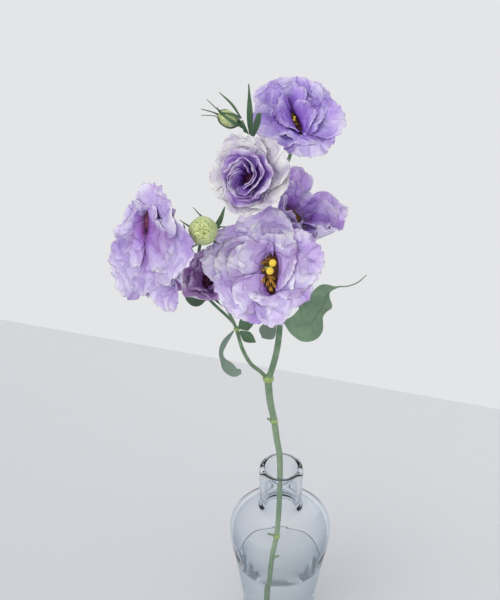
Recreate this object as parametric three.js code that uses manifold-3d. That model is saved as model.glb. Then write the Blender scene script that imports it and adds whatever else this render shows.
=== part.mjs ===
// A cut lisianthus spray standing in a glass bottle vase with water.
// Units are millimetres, +Z is up, and the origin is the centre of the vase's foot.
// The spray is one forked stem with six double blooms, two green buds and paired leaves.
import * as THREE from "three";
import { mergeVertices } from "three/addons/utils/BufferGeometryUtils.js";
import Module from "manifold-3d";

const wasm = await Module();
wasm.setup();

// ---------------------------------------------------------------- driving dimensions
const GAP = 0.3; // clearance left between neighbouring pieces
const VASE_HEIGHT = 165;
const VASE_SHOULDER_RADIUS = 38.5;
const VASE_FOOT_RADIUS = 26.5;
const NECK_RADIUS = 16;
const MOUTH_RADIUS = 12;
const WALL = 2.8;
const FLOOR = 8;
const WATER_LEVEL = 72;
const VASE_SIDES = 24;

const STEM_RADIUS = 2.1;
const PEDICEL_RADIUS = 1.15;
const PETAL_THICKNESS = 0.8;
const LEAF_THICKNESS = 0.8;
const PETAL_WRAP = 1.25; // the most that half a petal can wrap about the axis, in radians
const PETAL_LAP = 0.9; // how far a petal's edges sit outside and inside their neighbours
const HEART_TOP = 8; // where the solid heart of a bloom ends, in the bloom's own frame

// ---------------------------------------------------------------- small helpers
const vector = (x, y, z) => new THREE.Vector3(x, y, z);
const degrees = THREE.MathUtils.degToRad;
const mix = THREE.MathUtils.lerp;

// A seeded stream of numbers from 0 to 1, so that every build draws the same ones.
function randomStream(seed) {
  let state = seed >>> 0;
  return () => {
    state = (state + 0x6d2b79f5) >>> 0;
    let t = Math.imul(state ^ (state >>> 15), state | 1);
    t ^= t + Math.imul(t ^ (t >>> 7), t | 61);
    return ((t ^ (t >>> 14)) >>> 0) / 4294967296;
  };
}

// A closed geometry as a manifold-3d solid.
function solid(geometry) {
  const bare = geometry.clone();
  for (const name of Object.keys(bare.attributes)) if (name !== "position") bare.deleteAttribute(name);
  const merged = mergeVertices(bare, 1e-4);
  return new wasm.Manifold(
    new wasm.Mesh({
      numProp: 3,
      vertProperties: merged.attributes.position.array,
      triVerts: new Uint32Array(merged.index.array),
    }),
  );
}

const fuse = (geometries) => geometries.map(solid).reduce((whole, piece) => whole.add(piece));

// The largest outer shell of a solid, with any hollow sealed inside it filled.
const filled = (shape) => shape.decompose().sort((a, b) => b.volume() - a.volume())[0];

// A manifold-3d solid as a geometry with flat faces.
function geometryOf(shape) {
  const mesh = shape.getMesh();
  const positions = new Float32Array(mesh.numVert * 3);
  for (let i = 0; i < mesh.numVert; i++) {
    positions.set(mesh.vertProperties.subarray(i * mesh.numProp, i * mesh.numProp + 3), i * 3);
  }
  const geometry = new THREE.BufferGeometry()
    .setAttribute("position", new THREE.BufferAttribute(positions, 3))
    .setIndex(new THREE.BufferAttribute(mesh.triVerts, 1));
  geometry.computeVertexNormals();
  return geometry;
}

// Moves every vertex of a geometry to where place(x, y, z) says.
function reshape(geometry, place) {
  const position = geometry.attributes.position;
  for (let i = 0; i < position.count; i++) {
    const p = place(position.getX(i), position.getY(i), position.getZ(i));
    position.setXYZ(i, p.x, p.y, p.z);
  }
  return geometry;
}

// A round bar bent along a smooth curve through the points; radius(t) runs from foot to tip.
function tube(points, radius, sides, steps) {
  const curve = new THREE.CatmullRomCurve3(points, false, "centripetal");
  const frames = curve.computeFrenetFrames(steps, false);
  return reshape(new THREE.CylinderGeometry(1, 1, 1, sides, steps), (x, y, z) => {
    const t = THREE.MathUtils.clamp(y + 0.5, 0, 1);
    const ring = Math.round(t * steps);
    return curve
      .getPointAt(t)
      .addScaledVector(frames.binormals[ring], x * radius(t))
      .addScaledVector(frames.normals[ring], z * radius(t));
  });
}

// An egg-shaped body at a place, long along an axis.
function egg(centre, axis, radius, length, sides = 8) {
  const turn = new THREE.Quaternion().setFromUnitVectors(vector(0, 0, 1), axis.clone().normalize());
  return new THREE.SphereGeometry(1, sides, Math.max(4, sides - 2))
    .rotateX(Math.PI / 2)
    .scale(radius, radius, length)
    .applyQuaternion(turn)
    .translate(centre.x, centre.y, centre.z);
}

// A closed thin plate on a curved surface. surface(u, v) gives the mid point, u from -1 to 1 across and
// v from 0 to 1 along. Both faces are split into the same triangles, so they never cross.
function blade(surface, columns, rows, thickness) {
  const grid = new THREE.PlaneGeometry(2, 1, columns, rows);
  const flat = grid.attributes.position;
  const count = flat.count;
  const step = 1e-3;
  const positions = new Float32Array(count * 6);
  for (let i = 0; i < count; i++) {
    const u = flat.getX(i);
    const v = flat.getY(i) + 0.5;
    const middle = surface(u, v);
    const across = surface(u + step, v).sub(surface(u - step, v));
    const along = surface(u, Math.min(1, v + step)).sub(surface(u, Math.max(0, v - step)));
    const normal = across.cross(along).normalize();
    const top = middle.clone().addScaledVector(normal, thickness / 2);
    const bottom = middle.clone().addScaledVector(normal, -thickness / 2);
    positions.set(top.toArray(), i * 3);
    positions.set(bottom.toArray(), (count + i) * 3);
  }
  const faces = [...grid.index.array];
  for (let i = 0; i < grid.index.count; i += 3) {
    const [a, b, c] = grid.index.array.slice(i, i + 3);
    faces.push(a + count, c + count, b + count);
  }
  const wide = columns + 1;
  const rim = [];
  for (let i = 0; i < columns; i++) rim.push(rows * wide + i);
  for (let j = rows; j > 0; j--) rim.push(j * wide + columns);
  for (let i = columns; i > 0; i--) rim.push(i);
  for (let j = 0; j < rows; j++) rim.push(j * wide);
  rim.forEach((p, i) => {
    const q = rim[(i + 1) % rim.length];
    faces.push(q, p, p + count, q, p + count, q + count);
  });
  return new THREE.BufferGeometry()
    .setAttribute("position", new THREE.BufferAttribute(positions, 3))
    .setIndex(faces);
}

const toVectors = (points) => points.map((point) => vector(...point));

// The main stem, from its cut foot in the water to the fork.
const MAIN_ROUTE = [
  [-9.5, -13.5, 10.5], [-5.9, -5, 75], [-2.4, 0, 94], [-1, 9.2, 166], [-3.2, 9.6, 181.5],
  [-5.6, 9.5, 201], [-8.8, 8, 221], [-10.4, 6, 242],
];

// ---------------------------------------------------------------- vase and water
const VASE_OUTSIDE = [
  [VASE_FOOT_RADIUS - 2.5, 0],
  [VASE_FOOT_RADIUS, 2],
  [28.2, 22],
  [30.6, 46],
  [34.6, 74],
  [37.6, 92],
  [VASE_SHOULDER_RADIUS, 101],
  [37.8, 108],
  [35, 113.5],
  [29.5, 117.8],
  [22.5, 120.8],
  [18, 123.6],
  [NECK_RADIUS, 128],
  [NECK_RADIUS, VASE_HEIGHT - 2.5],
  [NECK_RADIUS - 0.8, VASE_HEIGHT - 0.7],
  [NECK_RADIUS - 2, VASE_HEIGHT],
];
const VASE_INSIDE = [
  [MOUTH_RADIUS + 0.6, VASE_HEIGHT - 0.8],
  [MOUTH_RADIUS, VASE_HEIGHT - 3],
  [MOUTH_RADIUS, 125],
  [14.4, 119.4],
  [27, 114.4],
  [33.2, 109],
  [VASE_SHOULDER_RADIUS - WALL, 99],
  [34.2 - WALL, 72],
  [30.4 - WALL, 45],
  [28 - WALL, 22],
  [22.6, 11.5],
  [18, FLOOR + 0.6],
];

function lathe(profile, sides) {
  const points = profile.map(([radius, height]) => new THREE.Vector2(radius, height));
  return new THREE.LatheGeometry(points, sides).rotateX(Math.PI / 2);
}

const vaseGeometry = () =>
  geometryOf(solid(lathe([[0, 0], ...VASE_OUTSIDE, ...VASE_INSIDE, [0, FLOOR]], VASE_SIDES)));

// The water fills the bowl to its level, with a plain hole for the stem.
function waterGeometry() {
  const wetted = VASE_INSIDE.filter(([, height]) => height < WATER_LEVEL).reverse();
  const surfaceRadius = VASE_INSIDE.find(([, height]) => height <= WATER_LEVEL)[0];
  const side = [...wetted, [surfaceRadius, WATER_LEVEL]].map(([radius, height]) => [
    radius - GAP - 0.2,
    Math.min(height + GAP, WATER_LEVEL),
  ]);
  const bottom = FLOOR + 0.6 + GAP;
  const [foot, next] = toVectors(MAIN_ROUTE);
  const below = foot.clone().addScaledVector(next.clone().sub(foot), -0.1);
  const hole = tube([below, ...toVectors(MAIN_ROUTE).slice(0, 3)], () => STEM_RADIUS + 0.8, 8, 6);
  return geometryOf(solid(lathe([[0, bottom], ...side, [0, WATER_LEVEL]], VASE_SIDES)).subtract(solid(hole)));
}

// ---------------------------------------------------------------- blooms
// A bloom is made in its own frame: +Z runs out of its mouth and the origin is where the petals meet.
// Each whorl is a ring of petals: how many, how long and how wide they are, how far they lean from the
// axis at the foot and at the tip, and the radius and height of the ring that they start on.
const OPEN_WHORLS = [
  { petals: 5, length: 43, width: 25, foot: 38, tip: 96, radius: 2.6, rise: 0.4, columns: 4, rows: 4 },
  { petals: 4, length: 37, width: 21, foot: 30, tip: 78, radius: 2.4, rise: 2, columns: 4, rows: 4 },
  { petals: 3, length: 31, width: 17, foot: 26, tip: 54, radius: 2.4, rise: 3.6, columns: 3, rows: 3 },
  { petals: 2, length: 24, width: 14, foot: 24, tip: 22, radius: 2.4, rise: 5.2, columns: 3, rows: 3 },
];
const HALF_OPEN_WHORLS = [
  { petals: 5, length: 43, width: 25, foot: 36, tip: 92, radius: 2.6, rise: 0.4, columns: 4, rows: 4 },
  { petals: 3, length: 37, width: 23, foot: 28, tip: 66, radius: 2.4, rise: 2, columns: 4, rows: 3 },
  { petals: 2, length: 30, width: 15, foot: 24, tip: 38, radius: 2.4, rise: 3.6, columns: 3, rows: 3 },
];
const CUPPED_WHORLS = [
  { petals: 5, length: 37, width: 21, foot: 30, tip: 66, radius: 2.6, rise: 0.4, columns: 4, rows: 4 },
  { petals: 3, length: 33, width: 20, foot: 26, tip: 34, radius: 2.4, rise: 2, columns: 4, rows: 3 },
  { petals: 2, length: 28, width: 16, foot: 22, tip: 4, radius: 2.4, rise: 3.6, columns: 3, rows: 3 },
];
const NARROW_WHORLS = [
  { petals: 5, length: 30, width: 17, foot: 30, tip: 42, radius: 2.6, rise: 0.4, columns: 4, rows: 3 },
];

// facing is how far the mouth turns from the front towards the left, lift how far it looks up, and spin
// turns the petals about the axis, all in degrees. ruffle is the height of the waves along the rim and
// slit narrows the throat. pressed holds the petals of one side upright, where a neighbour is in the way.
const BLOOMS = {
  front: {
    base: [-10.8, -14, 346], facing: 13, lift: 38, size: 1,
    whorls: OPEN_WHORLS, spin: 10, ruffle: 1.8, slit: 0.42, anthers: 5, seed: 11,
    pressed: { towards: 0, by: 0 },
  },
  left: {
    base: [-71.5, 0, 356.5], facing: 47, lift: 14, size: 1.1, sepalSpin: 36,
    whorls: OPEN_WHORLS, spin: 40, ruffle: 2.4, slit: 0.4, anthers: 3, seed: 23,
    pressed: { towards: 0, by: 0.1 },
  },
  top: {
    base: [4.6, 22, 430], facing: 5, lift: 52, size: 0.8,
    whorls: HALF_OPEN_WHORLS, spin: 70, ruffle: 2.8, slit: 0.4, anthers: 3, seed: 37,
    pressed: { towards: 180, by: 0.2 },
  },
  centre: {
    base: [-16, -2, 405.6], facing: 20, lift: 28, size: 0.94,
    whorls: CUPPED_WHORLS, spin: 25, ruffle: 1, slit: 0.2, anthers: 0, seed: 41,
    pressed: { towards: 0, by: 0 },
  },
  right: {
    base: [4, 16, 364], facing: -40, lift: 58, size: 0.86,
    whorls: HALF_OPEN_WHORLS.slice(0, 2), spin: 15, ruffle: 2.6, slit: 0.1, anthers: 3, seed: 53,
    pressed: { towards: 210, by: 0.5 },
  },
  rear: {
    base: [-50, 1, 326], facing: 5, lift: 52, size: 1,
    whorls: NARROW_WHORLS, spin: 20, ruffle: 1.6, slit: 0.1, anthers: 0, seed: 67,
    pressed: { towards: 90, by: 0.5 },
  },
};

const axisOf = ({ facing, lift }) =>
  vector(
    -Math.sin(degrees(facing)) * Math.cos(degrees(lift)),
    -Math.cos(degrees(facing)) * Math.cos(degrees(lift)),
    Math.sin(degrees(lift)),
  );

// From a flower's own frame to the part's frame.
function flowerFrame(flower) {
  const turn = new THREE.Quaternion().setFromUnitVectors(vector(0, 0, 1), axisOf(flower));
  const scale = vector(flower.size, flower.size, flower.size);
  return new THREE.Matrix4().compose(vector(...flower.base), turn, scale);
}

// The curve down the middle of a petal: its distance from the axis, its height and its lean at s.
function petalProfile(petal) {
  const spans = 24;
  const lean = (s) => degrees(mix(petal.foot, petal.tip, Math.pow(s, 1.5)));
  const points = [[petal.radius, petal.rise]];
  for (let i = 0; i < spans; i++) {
    const angle = lean((i + 0.5) / spans);
    const [radius, height] = points[i];
    points.push([
      radius + (Math.sin(angle) * petal.length) / spans,
      height + (Math.cos(angle) * petal.length) / spans,
    ]);
  }
  return (s) => {
    const place = THREE.MathUtils.clamp(s, 0, 1) * spans;
    const i = Math.min(spans - 1, Math.floor(place));
    return {
      radius: mix(points[i][0], points[i + 1][0], place - i),
      height: mix(points[i][1], points[i + 1][1], place - i),
      lean: lean(s),
    };
  };
}

// The mid surface of one petal. It lies on the bloom's funnel, one edge outside its neighbour and the
// other inside, and waves along its rim.
function petalSurface(petal, bloom) {
  const profile = petalProfile(petal);
  return (u, v) => {
    const s = v * (1 - 0.2 * Math.pow(Math.abs(u), 2.6));
    const { radius, height, lean } = profile(s);
    const half = petal.width * (0.05 + 0.95 * Math.sin((Math.PI / 2) * Math.min(1, s / 0.8)));
    const spread = PETAL_WRAP * Math.tanh(half / radius / PETAL_WRAP);
    const angle = petal.azimuth + u * spread;
    const wave = Math.sin(6 * angle + petal.phase) + 0.5 * Math.sin(11 * angle + 2 * petal.phase);
    const offset = bloom.ruffle * Math.pow(s, 2.5) * wave - PETAL_LAP * u;
    const r = radius - Math.cos(lean) * offset;
    const squeeze = 1 - bloom.slit * Math.exp(-Math.pow(r / 14, 2));
    return vector(
      r * Math.cos(angle) * squeeze,
      r * Math.sin(angle),
      height + Math.sin(lean) * offset,
    );
  };
}

// Every petal of a bloom, with its own small differences drawn from the bloom's seed.
function petalsOf(bloom) {
  const draw = randomStream(bloom.seed);
  const vary = (amount) => (draw() * 2 - 1) * amount;
  const phase = draw() * 2 * Math.PI;
  return bloom.whorls.flatMap((whorl, ring) =>
    Array.from({ length: whorl.petals }, (_, i) => {
      const azimuth =
        degrees(bloom.spin) + ((i + ring * 0.5) / whorl.petals) * 2 * Math.PI + ring * 0.35 + vary(0.06);
      const towards = Math.max(0, Math.cos(azimuth - degrees(bloom.pressed.towards)));
      const upright = 1 - bloom.pressed.by * Math.pow(towards, 1.5);
      return {
        ...whorl,
        azimuth,
        length: whorl.length * (1 + vary(0.05)),
        foot: whorl.foot * upright,
        tip: (whorl.tip + vary(3)) * upright,
        phase,
      };
    }),
  );
}

function bloomGeometry(bloom) {
  const petals = petalsOf(bloom).map((petal) =>
    blade(petalSurface(petal, bloom), petal.columns, petal.rows, PETAL_THICKNESS / bloom.size),
  );
  const heart = new THREE.CylinderGeometry(5.5, 2.5, HEART_TOP + 2, 6, 1)
    .rotateX(Math.PI / 2)
    .translate(0, 0, HEART_TOP / 2 - 1);
  return geometryOf(filled(fuse([heart, ...petals])));
}

// The seed vessel with its two-lobed tip, ringed by stamens, standing in the throat of a bloom.
function pistilGeometry(bloom) {
  const outline = [[0, 0.4], [1.7, 2.4], [1.6, 5], [0.8, 7], [0.9, 8.6], [1.9, 9.8], [1.5, 12], [0, 12.4]];
  const vessel = reshape(lathe(outline, 8), (x, y, z) => {
    const lobe = z > 9 ? 0.55 + 0.9 * Math.pow(y / Math.max(0.1, Math.hypot(x, y)), 2) : 1;
    return vector(x * lobe, y * lobe, z + HEART_TOP);
  });
  const stamens = Array.from({ length: bloom.anthers }, (_, i) => {
    const angle = degrees(30) + (i / bloom.anthers) * 2 * Math.PI;
    const [x, y] = [Math.cos(angle), Math.sin(angle)];
    const foot = vector(x, y, HEART_TOP + 2.5);
    const tip = vector(1.1 * x, 3.8 * y, 14.4);
    return tube([foot, tip], (t) => (t > 0.6 && t < 0.9 ? 1.1 : 0.5), 4, 4);
  });
  return geometryOf(filled(fuse([vessel, ...stamens])));
}

// ---------------------------------------------------------------- buds
const BUDS = {
  left: {
    base: [-51, -16, 376], facing: 5, lift: 35, size: 1, sepalSpin: 20,
    radius: 8.8, length: 19, sepal: 17,
  },
  top: {
    base: [-31.8, -3.2, 444.3], facing: 60, lift: 38, size: 1, sepalSpin: 0,
    radius: 4.8, length: 13, sepal: 16,
  },
};

// A closed bud: petals wound into a ribbed egg that narrows to a blunt tip.
function budGeometry({ radius, length }) {
  const shape = new THREE.SphereGeometry(1, 15, 6).rotateX(Math.PI / 2);
  return reshape(shape, (x, y, z) => {
    const height = (z + 1) / 2;
    const rib = 1 + 0.07 * Math.sin(5 * Math.atan2(y, x) + 2 * height) * Math.sin(Math.PI * height);
    return vector(x * radius * rib, y * radius * rib, height * length);
  });
}

// ---------------------------------------------------------------- stem
const LIMB_ROUTES = {
  left: [
    [-10.4, 6, 240], [-14.6, 5, 248], [-22.3, 3, 257.6], [-27.8, 1, 271], [-30.5, -1, 283],
    [-32.4, -3, 293.6],
  ],
  right: [
    [-10.4, 6, 240], [-5.7, 5, 261], [-3.6, 4, 277.5], [-2.8, 4, 293.4], [-1.6, 8, 308], [-3.2, 10, 331],
    [-8.7, 10, 354], [-14, 10, 375],
  ],
  leftOuter: [[-31.6, -2.4, 290], [-34, -3.4, 297], [-39, -4, 304], [-46, -4, 312], [-51.3, -4, 318.7]],
  leftInner: [[-31.6, -2.4, 290], [-33.4, -3.4, 299], [-36.9, -4, 310], [-39.4, -2, 323], [-38.6, 2, 338]],
  top: [
    [-14, 10, 374], [-19, 12, 388], [-23, 11, 402], [-24.2, 9, 417], [-24.6, 2, 432.4], [-28.1, -2, 444.3],
  ],
};
// The stalk of each flower: its way from the limb it leaves, before it meets the flower's own cup.
const STALK_ROUTES = {
  front: [[-2.4, 9.4, 322], [-5.4, 5, 331]],
  left: [[-51, -4, 317.5], [-55.2, 3.4, 322.5], [-58, 10, 336], [-63, 9, 350]],
  top: [[-14, 10, 374], [-7, 17, 391], [2, 24, 407]],
  centre: [[-14, 10, 374], [-13.5, 10.5, 388]],
  right: [[-4, 10, 335], [-1.5, 14, 347]],
  rear: [[-50.4, -3.4, 316]],
};
const BUD_STALK_ROUTES = {
  left: [[-57.4, 9.4, 333], [-56, 9.5, 348], [-53, 0, 363]],
  top: [[-27.6, -1.6, 443]],
};
// Swollen joints where leaves and limbs leave the stem: place and radius.
const KNOTS = [
  [[-2.6, -0.6, 93], 3],
  [[-5.9, 9.5, 201], 3.1],
  [[-10.2, 6, 242], 3.6],
  [[-32, -2.8, 292], 2.4],
];
// Short stubs left where leaves were stripped off.
const STUBS = [
  [[-3, -0.6, 93], [-9, -3, 98]],
  [[-5.6, -4.6, 73.6], [-1, -7.5, 79]],
  [[-6, 9, 201], [-10.4, 7, 204.6]],
];

const CUP_DEPTH = 5; // how far below a bloom's own origin its stalk ends, inside the green cup
const BUD_CUP_DEPTH = 2.7;

// The green cup behind a flower, drawn out into five narrow sepals. Each ring gives the distance from
// the axis and the height of a sepal, then of the notch between two sepals.
const BLOOM_CUP = [
  [1.2, -7, 1.2, -7],
  [2.7, -5.2, 2.4, -5.2],
  [19, 3, 2.6, -3.4],
  [2.2, -2.5, 2.2, -2.5],
];
function cupGeometry(flower, rings) {
  const spin = degrees(flower.sepalSpin ?? 0);
  const bands = rings.length + 1;
  const shape = new THREE.SphereGeometry(1, 10, bands).rotateX(-Math.PI / 2);
  return reshape(shape, (x, y, z) => {
    const level = Math.round((bands * Math.acos(THREE.MathUtils.clamp(-z, -1, 1))) / Math.PI) - 1;
    const atPole = level < 0 || level >= rings.length;
    const [outer, high, inner, low] = rings[THREE.MathUtils.clamp(level, 0, rings.length - 1)];
    if (atPole) return vector(0, 0, low);
    const turn = Math.atan2(y, x);
    const onSepal = Math.round((turn / Math.PI) * 5) % 2 === 0;
    const reach = onSepal ? outer : inner;
    return vector(reach * Math.cos(turn + spin), reach * Math.sin(turn + spin), onSepal ? high : low);
  }).applyMatrix4(flowerFrame(flower));
}

const behind = (flower, depth) => vector(0, 0, -depth).applyMatrix4(flowerFrame(flower));

function stalkGeometry(flower, route, depth) {
  const points = [...toVectors(route), behind(flower, depth + 4), behind(flower, depth)];
  return tube(points, () => PEDICEL_RADIUS, 5, route.length + 3);
}

// The small cup of a bud, with five hair-thin sepals that spread round it.
function budCupPieces(bud) {
  const profile = [
    [1, -BUD_CUP_DEPTH],
    [bud.radius * 0.9, -1],
    [bud.radius + 2.4, bud.length * 0.45],
    [bud.radius + 6, bud.sepal],
  ];
  const sepals = [0, 1, 2, 3, 4].map((i) => {
    const angle = degrees(bud.sepalSpin) + (i / 5) * 2 * Math.PI;
    const route = profile.map(([radius, height]) =>
      vector(radius * Math.cos(angle), radius * Math.sin(angle), height).applyMatrix4(flowerFrame(bud)),
    );
    return tube(route, (t) => mix(0.75, 0.35, t), 3, 3);
  });
  return [egg(behind(bud, BUD_CUP_DEPTH), axisOf(bud), 2.2, 2.1, 6), ...sepals];
}

function stemGeometry() {
  const limbs = [
    tube(toVectors(MAIN_ROUTE), (t) => mix(STEM_RADIUS + 0.1, STEM_RADIUS - 0.2, t), 8, 12),
    tube(toVectors(LIMB_ROUTES.left), () => 1.55, 5, 7),
    tube(toVectors(LIMB_ROUTES.right), (t) => mix(1.8, 1.4, t), 6, 9),
    tube(toVectors(LIMB_ROUTES.leftOuter), () => 1.3, 5, 4),
    tube(toVectors(LIMB_ROUTES.leftInner), (t) => mix(1.3, 0.9, t), 5, 4),
    tube(toVectors(LIMB_ROUTES.top), () => 1.2, 5, 7),
  ];
  const knots = KNOTS.map(([place, radius]) => egg(vector(...place), vector(0, 0, 1), radius, radius, 6));
  const stubs = STUBS.map((route) => tube(toVectors(route), (t) => mix(1, 0.5, t), 4, 1));
  const stalks = Object.entries(BLOOMS).flatMap(([name, bloom]) => [
    stalkGeometry(bloom, STALK_ROUTES[name], CUP_DEPTH),
    cupGeometry(bloom, BLOOM_CUP),
  ]);
  const budStalks = Object.entries(BUDS).flatMap(([name, bud]) => [
    stalkGeometry(bud, BUD_STALK_ROUTES[name], BUD_CUP_DEPTH),
    ...budCupPieces(bud),
  ]);
  return geometryOf(filled(fuse([...limbs, ...knots, ...stubs, ...stalks, ...budStalks])));
}

// ---------------------------------------------------------------- leaves
// A leaf lies along its route. widths are its half widths at equal steps from root to tip, face is the
// way its upper side looks at the root and at the tip, and cup lifts its edges.
const FRONT_UP = [0, -0.8, 0.6];
const LEAVES = {
  broad: {
    route: [
      [-0.5, 3, 293.8], [8, 5, 290.5], [17, 8, 289], [26, 11, 293], [33, 13, 304], [37.5, 14, 312.5],
      [45, 14, 315.5], [50.5, 14, 319], [54.7, 14, 324.1],
    ],
    widths: [0.8, 6, 11, 13.5, 12, 7, 2.6, 1.4, 1, 0.6],
    face: [FRONT_UP, FRONT_UP], cup: 0.12, columns: 4,
  },
  upright: {
    route: [[-23, 0.4, 434.8], [-23, -3, 451], [-23.8, -8, 471]],
    widths: [0.6, 2, 2.4, 1.9, 1.1, 0.5],
    face: [[-0.3, -1, 0.3], [-0.3, -1, 0.3]], cup: 0.35, columns: 2,
  },
  folded: {
    route: [[-22.6, -2.4, 432.6], [-20.2, -8.8, 443.6], [-17.4, -17, 453.6]],
    widths: [0.6, 2.2, 3, 2.3, 0.5],
    face: [[0.5, -1, 0.2], [0.2, -1, 0.2]], cup: 0.5, columns: 2,
  },
  sliver: {
    route: [[-28.2, -0.8, 445.7], [-33.6, -0.6, 454.6], [-41, -0.6, 462.4]],
    widths: [0.5, 1.2, 1.1, 0.5],
    face: [FRONT_UP, FRONT_UP], cup: 0.2, columns: 2,
  },
  behind: {
    route: [[-6, 6.8, 288.7], [-8.4, 9, 281], [-11.8, 12, 272.5]],
    widths: [0.8, 4.6, 6, 4.6, 0.8],
    face: [FRONT_UP, FRONT_UP], cup: 0.2, columns: 2,
  },
  inner: {
    route: [[-30.5, -4.3, 294], [-25, -9, 301], [-19.7, -14, 307]],
    widths: [0.8, 3.4, 4.6, 3.4, 0.8],
    face: [FRONT_UP, FRONT_UP], cup: 0.3, columns: 2,
  },
  low: {
    route: [[-29.9, -4.9, 291.4], [-25, -9, 290], [-19.4, -13, 288.4]],
    widths: [0.8, 2.4, 3.6, 2.6, 0.8],
    face: [FRONT_UP, FRONT_UP], cup: 0.3, columns: 2,
  },
  twisted: {
    route: [
      [-34.9, -4, 290.4], [-40.5, -6, 282.5], [-42.6, -8, 274.7], [-39.8, -8, 266.2], [-33.6, -10, 260.8],
      [-29.1, -12, 263],
    ],
    widths: [0.8, 2.6, 3, 2.2, 3.4, 5, 3.6, 0.8],
    face: [[0.9, -0.6, 0.3], [-0.3, -0.9, 0.6]], cup: 0.2, columns: 2,
  },
  bract: {
    route: [[-52.1, -5.7, 317.9], [-58, -11, 322], [-65.9, -15, 331]],
    widths: [0.8, 3.6, 5, 3.6, 0.8],
    face: [FRONT_UP, FRONT_UP], cup: 0.3, columns: 2,
  },
  budside: {
    route: [[-47.6, -12.4, 374.6], [-42, -11, 380], [-38.5, -13, 392]],
    widths: [0.6, 1.6, 1.8, 1.2, 0.5],
    face: [[-0.6, -0.6, 0.3], [-0.6, -0.6, 0.3]], cup: 0.3, columns: 2,
  },
};

function leafGeometry({ route, widths, face, cup, columns }) {
  const curve = new THREE.CatmullRomCurve3(toVectors(route), false, "centripetal");
  const rows = widths.length - 1;
  const surface = (u, v) => {
    const t = THREE.MathUtils.clamp(v, 0, 1);
    const i = Math.min(rows - 1, Math.floor(t * rows));
    const half = mix(widths[i], widths[i + 1], t * rows - i);
    const along = curve.getTangentAt(t);
    const upper = vector(...face[0]).lerp(vector(...face[1]), t);
    const across = along.clone().cross(upper).normalize();
    const out = across.clone().cross(along).normalize();
    return curve
      .getPointAt(t)
      .addScaledVector(across, u * half)
      .addScaledVector(out, cup * half * u * u);
  };
  return blade(surface, columns, rows, LEAF_THICKNESS);
}

// ---------------------------------------------------------------- assembly
const LOOKS = {
  glass: { color: "#e3eaec", roughness: 0.02, transparent: true, opacity: 0.35 },
  water: { color: "#eef3f5", roughness: 0, transparent: true, opacity: 0.3 },
  stem: { color: "#84977a", roughness: 0.5 },
  leaf: { color: "#64876a", roughness: 0.6 },
  petal: { color: "#b29bd8", roughness: 0.7 },
  pistil: { color: "#caa543", roughness: 0.7 },
  bud: { color: "#bccb8c", roughness: 0.6 },
};

function named(name, geometry, look) {
  const mesh = new THREE.Mesh(geometry, new THREE.MeshStandardMaterial({ metalness: 0, ...LOOKS[look] }));
  mesh.name = name;
  return mesh;
}

// A group that carries the pieces of one flower, turned and placed on its stalk.
function flowerGroup(flower, pieces) {
  const group = new THREE.Group();
  group.applyMatrix4(flowerFrame(flower));
  group.add(...pieces);
  return group;
}

const spray = new THREE.Group();
spray.add(named("stem", stemGeometry(), "stem"));
for (const [name, leaf] of Object.entries(LEAVES)) {
  spray.add(named(`leaf_${name}`, leafGeometry(leaf), "leaf"));
}
for (const [name, bloom] of Object.entries(BLOOMS)) {
  const petals = named(`bloom_${name}`, bloomGeometry(bloom), "petal");
  const pistil = named(`pistil_${name}`, pistilGeometry(bloom), "pistil");
  spray.add(flowerGroup(bloom, [petals, pistil]));
}
for (const [name, bud] of Object.entries(BUDS)) {
  spray.add(flowerGroup(bud, [named(`bud_${name}`, budGeometry(bud), "bud")]));
}

const object = new THREE.Group();
object.add(named("glass_vase", vaseGeometry(), "glass"), named("water", waterGeometry(), "water"), spray);

export default object;
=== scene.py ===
# %% [markdown]
# # A lisianthus spray in a glass bottle vase
#
# The real thing is one cut stem of double lisianthus: six ruffled lilac blooms, two green buds and a
# few smooth grey-green leaves, standing in water in a clear glass bottle with a narrow neck.
# The solid model of it is loaded first as a fixed frame, in metres. Every finished piece below is
# made in that same frame, so a piece lands on the solid that it stands for without any fitting.

# %% Load the fixed frame
import math

import bmesh
import bpy
from mathutils import Matrix, Vector, noise


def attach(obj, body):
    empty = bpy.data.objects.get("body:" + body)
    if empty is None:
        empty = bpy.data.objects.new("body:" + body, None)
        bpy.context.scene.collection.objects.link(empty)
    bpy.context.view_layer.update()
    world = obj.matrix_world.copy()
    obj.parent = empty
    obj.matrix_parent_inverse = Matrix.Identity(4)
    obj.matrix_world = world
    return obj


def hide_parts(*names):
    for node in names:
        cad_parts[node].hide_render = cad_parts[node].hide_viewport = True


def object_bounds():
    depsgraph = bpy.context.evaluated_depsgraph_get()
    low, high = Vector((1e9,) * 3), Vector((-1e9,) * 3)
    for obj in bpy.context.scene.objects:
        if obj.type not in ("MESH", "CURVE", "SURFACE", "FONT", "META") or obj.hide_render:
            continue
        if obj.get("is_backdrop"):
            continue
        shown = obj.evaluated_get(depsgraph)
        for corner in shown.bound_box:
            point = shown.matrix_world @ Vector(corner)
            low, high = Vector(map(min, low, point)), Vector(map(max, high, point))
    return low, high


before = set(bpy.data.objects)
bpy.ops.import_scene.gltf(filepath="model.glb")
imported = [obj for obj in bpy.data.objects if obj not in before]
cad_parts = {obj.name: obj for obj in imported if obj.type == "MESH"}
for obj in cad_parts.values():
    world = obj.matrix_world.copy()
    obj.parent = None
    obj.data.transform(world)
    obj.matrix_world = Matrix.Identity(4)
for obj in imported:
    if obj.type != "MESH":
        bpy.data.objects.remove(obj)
cad_box = [list(corner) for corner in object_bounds()]
print("solids in the frame:", len(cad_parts))
print("box of the solids:", [[round(x, 4) for x in corner] for corner in cad_box])

# %% [markdown]
# ## The camera
#
# A camera that looks down on the spray from in front, at about 35 degrees. Its lens is 69 mm on a
# 36 mm sensor, a short portrait lens, so near and far blooms keep their natural sizes. The numbers
# are written as a place and one turn about X, which is how a level tripod head would be set.

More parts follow.
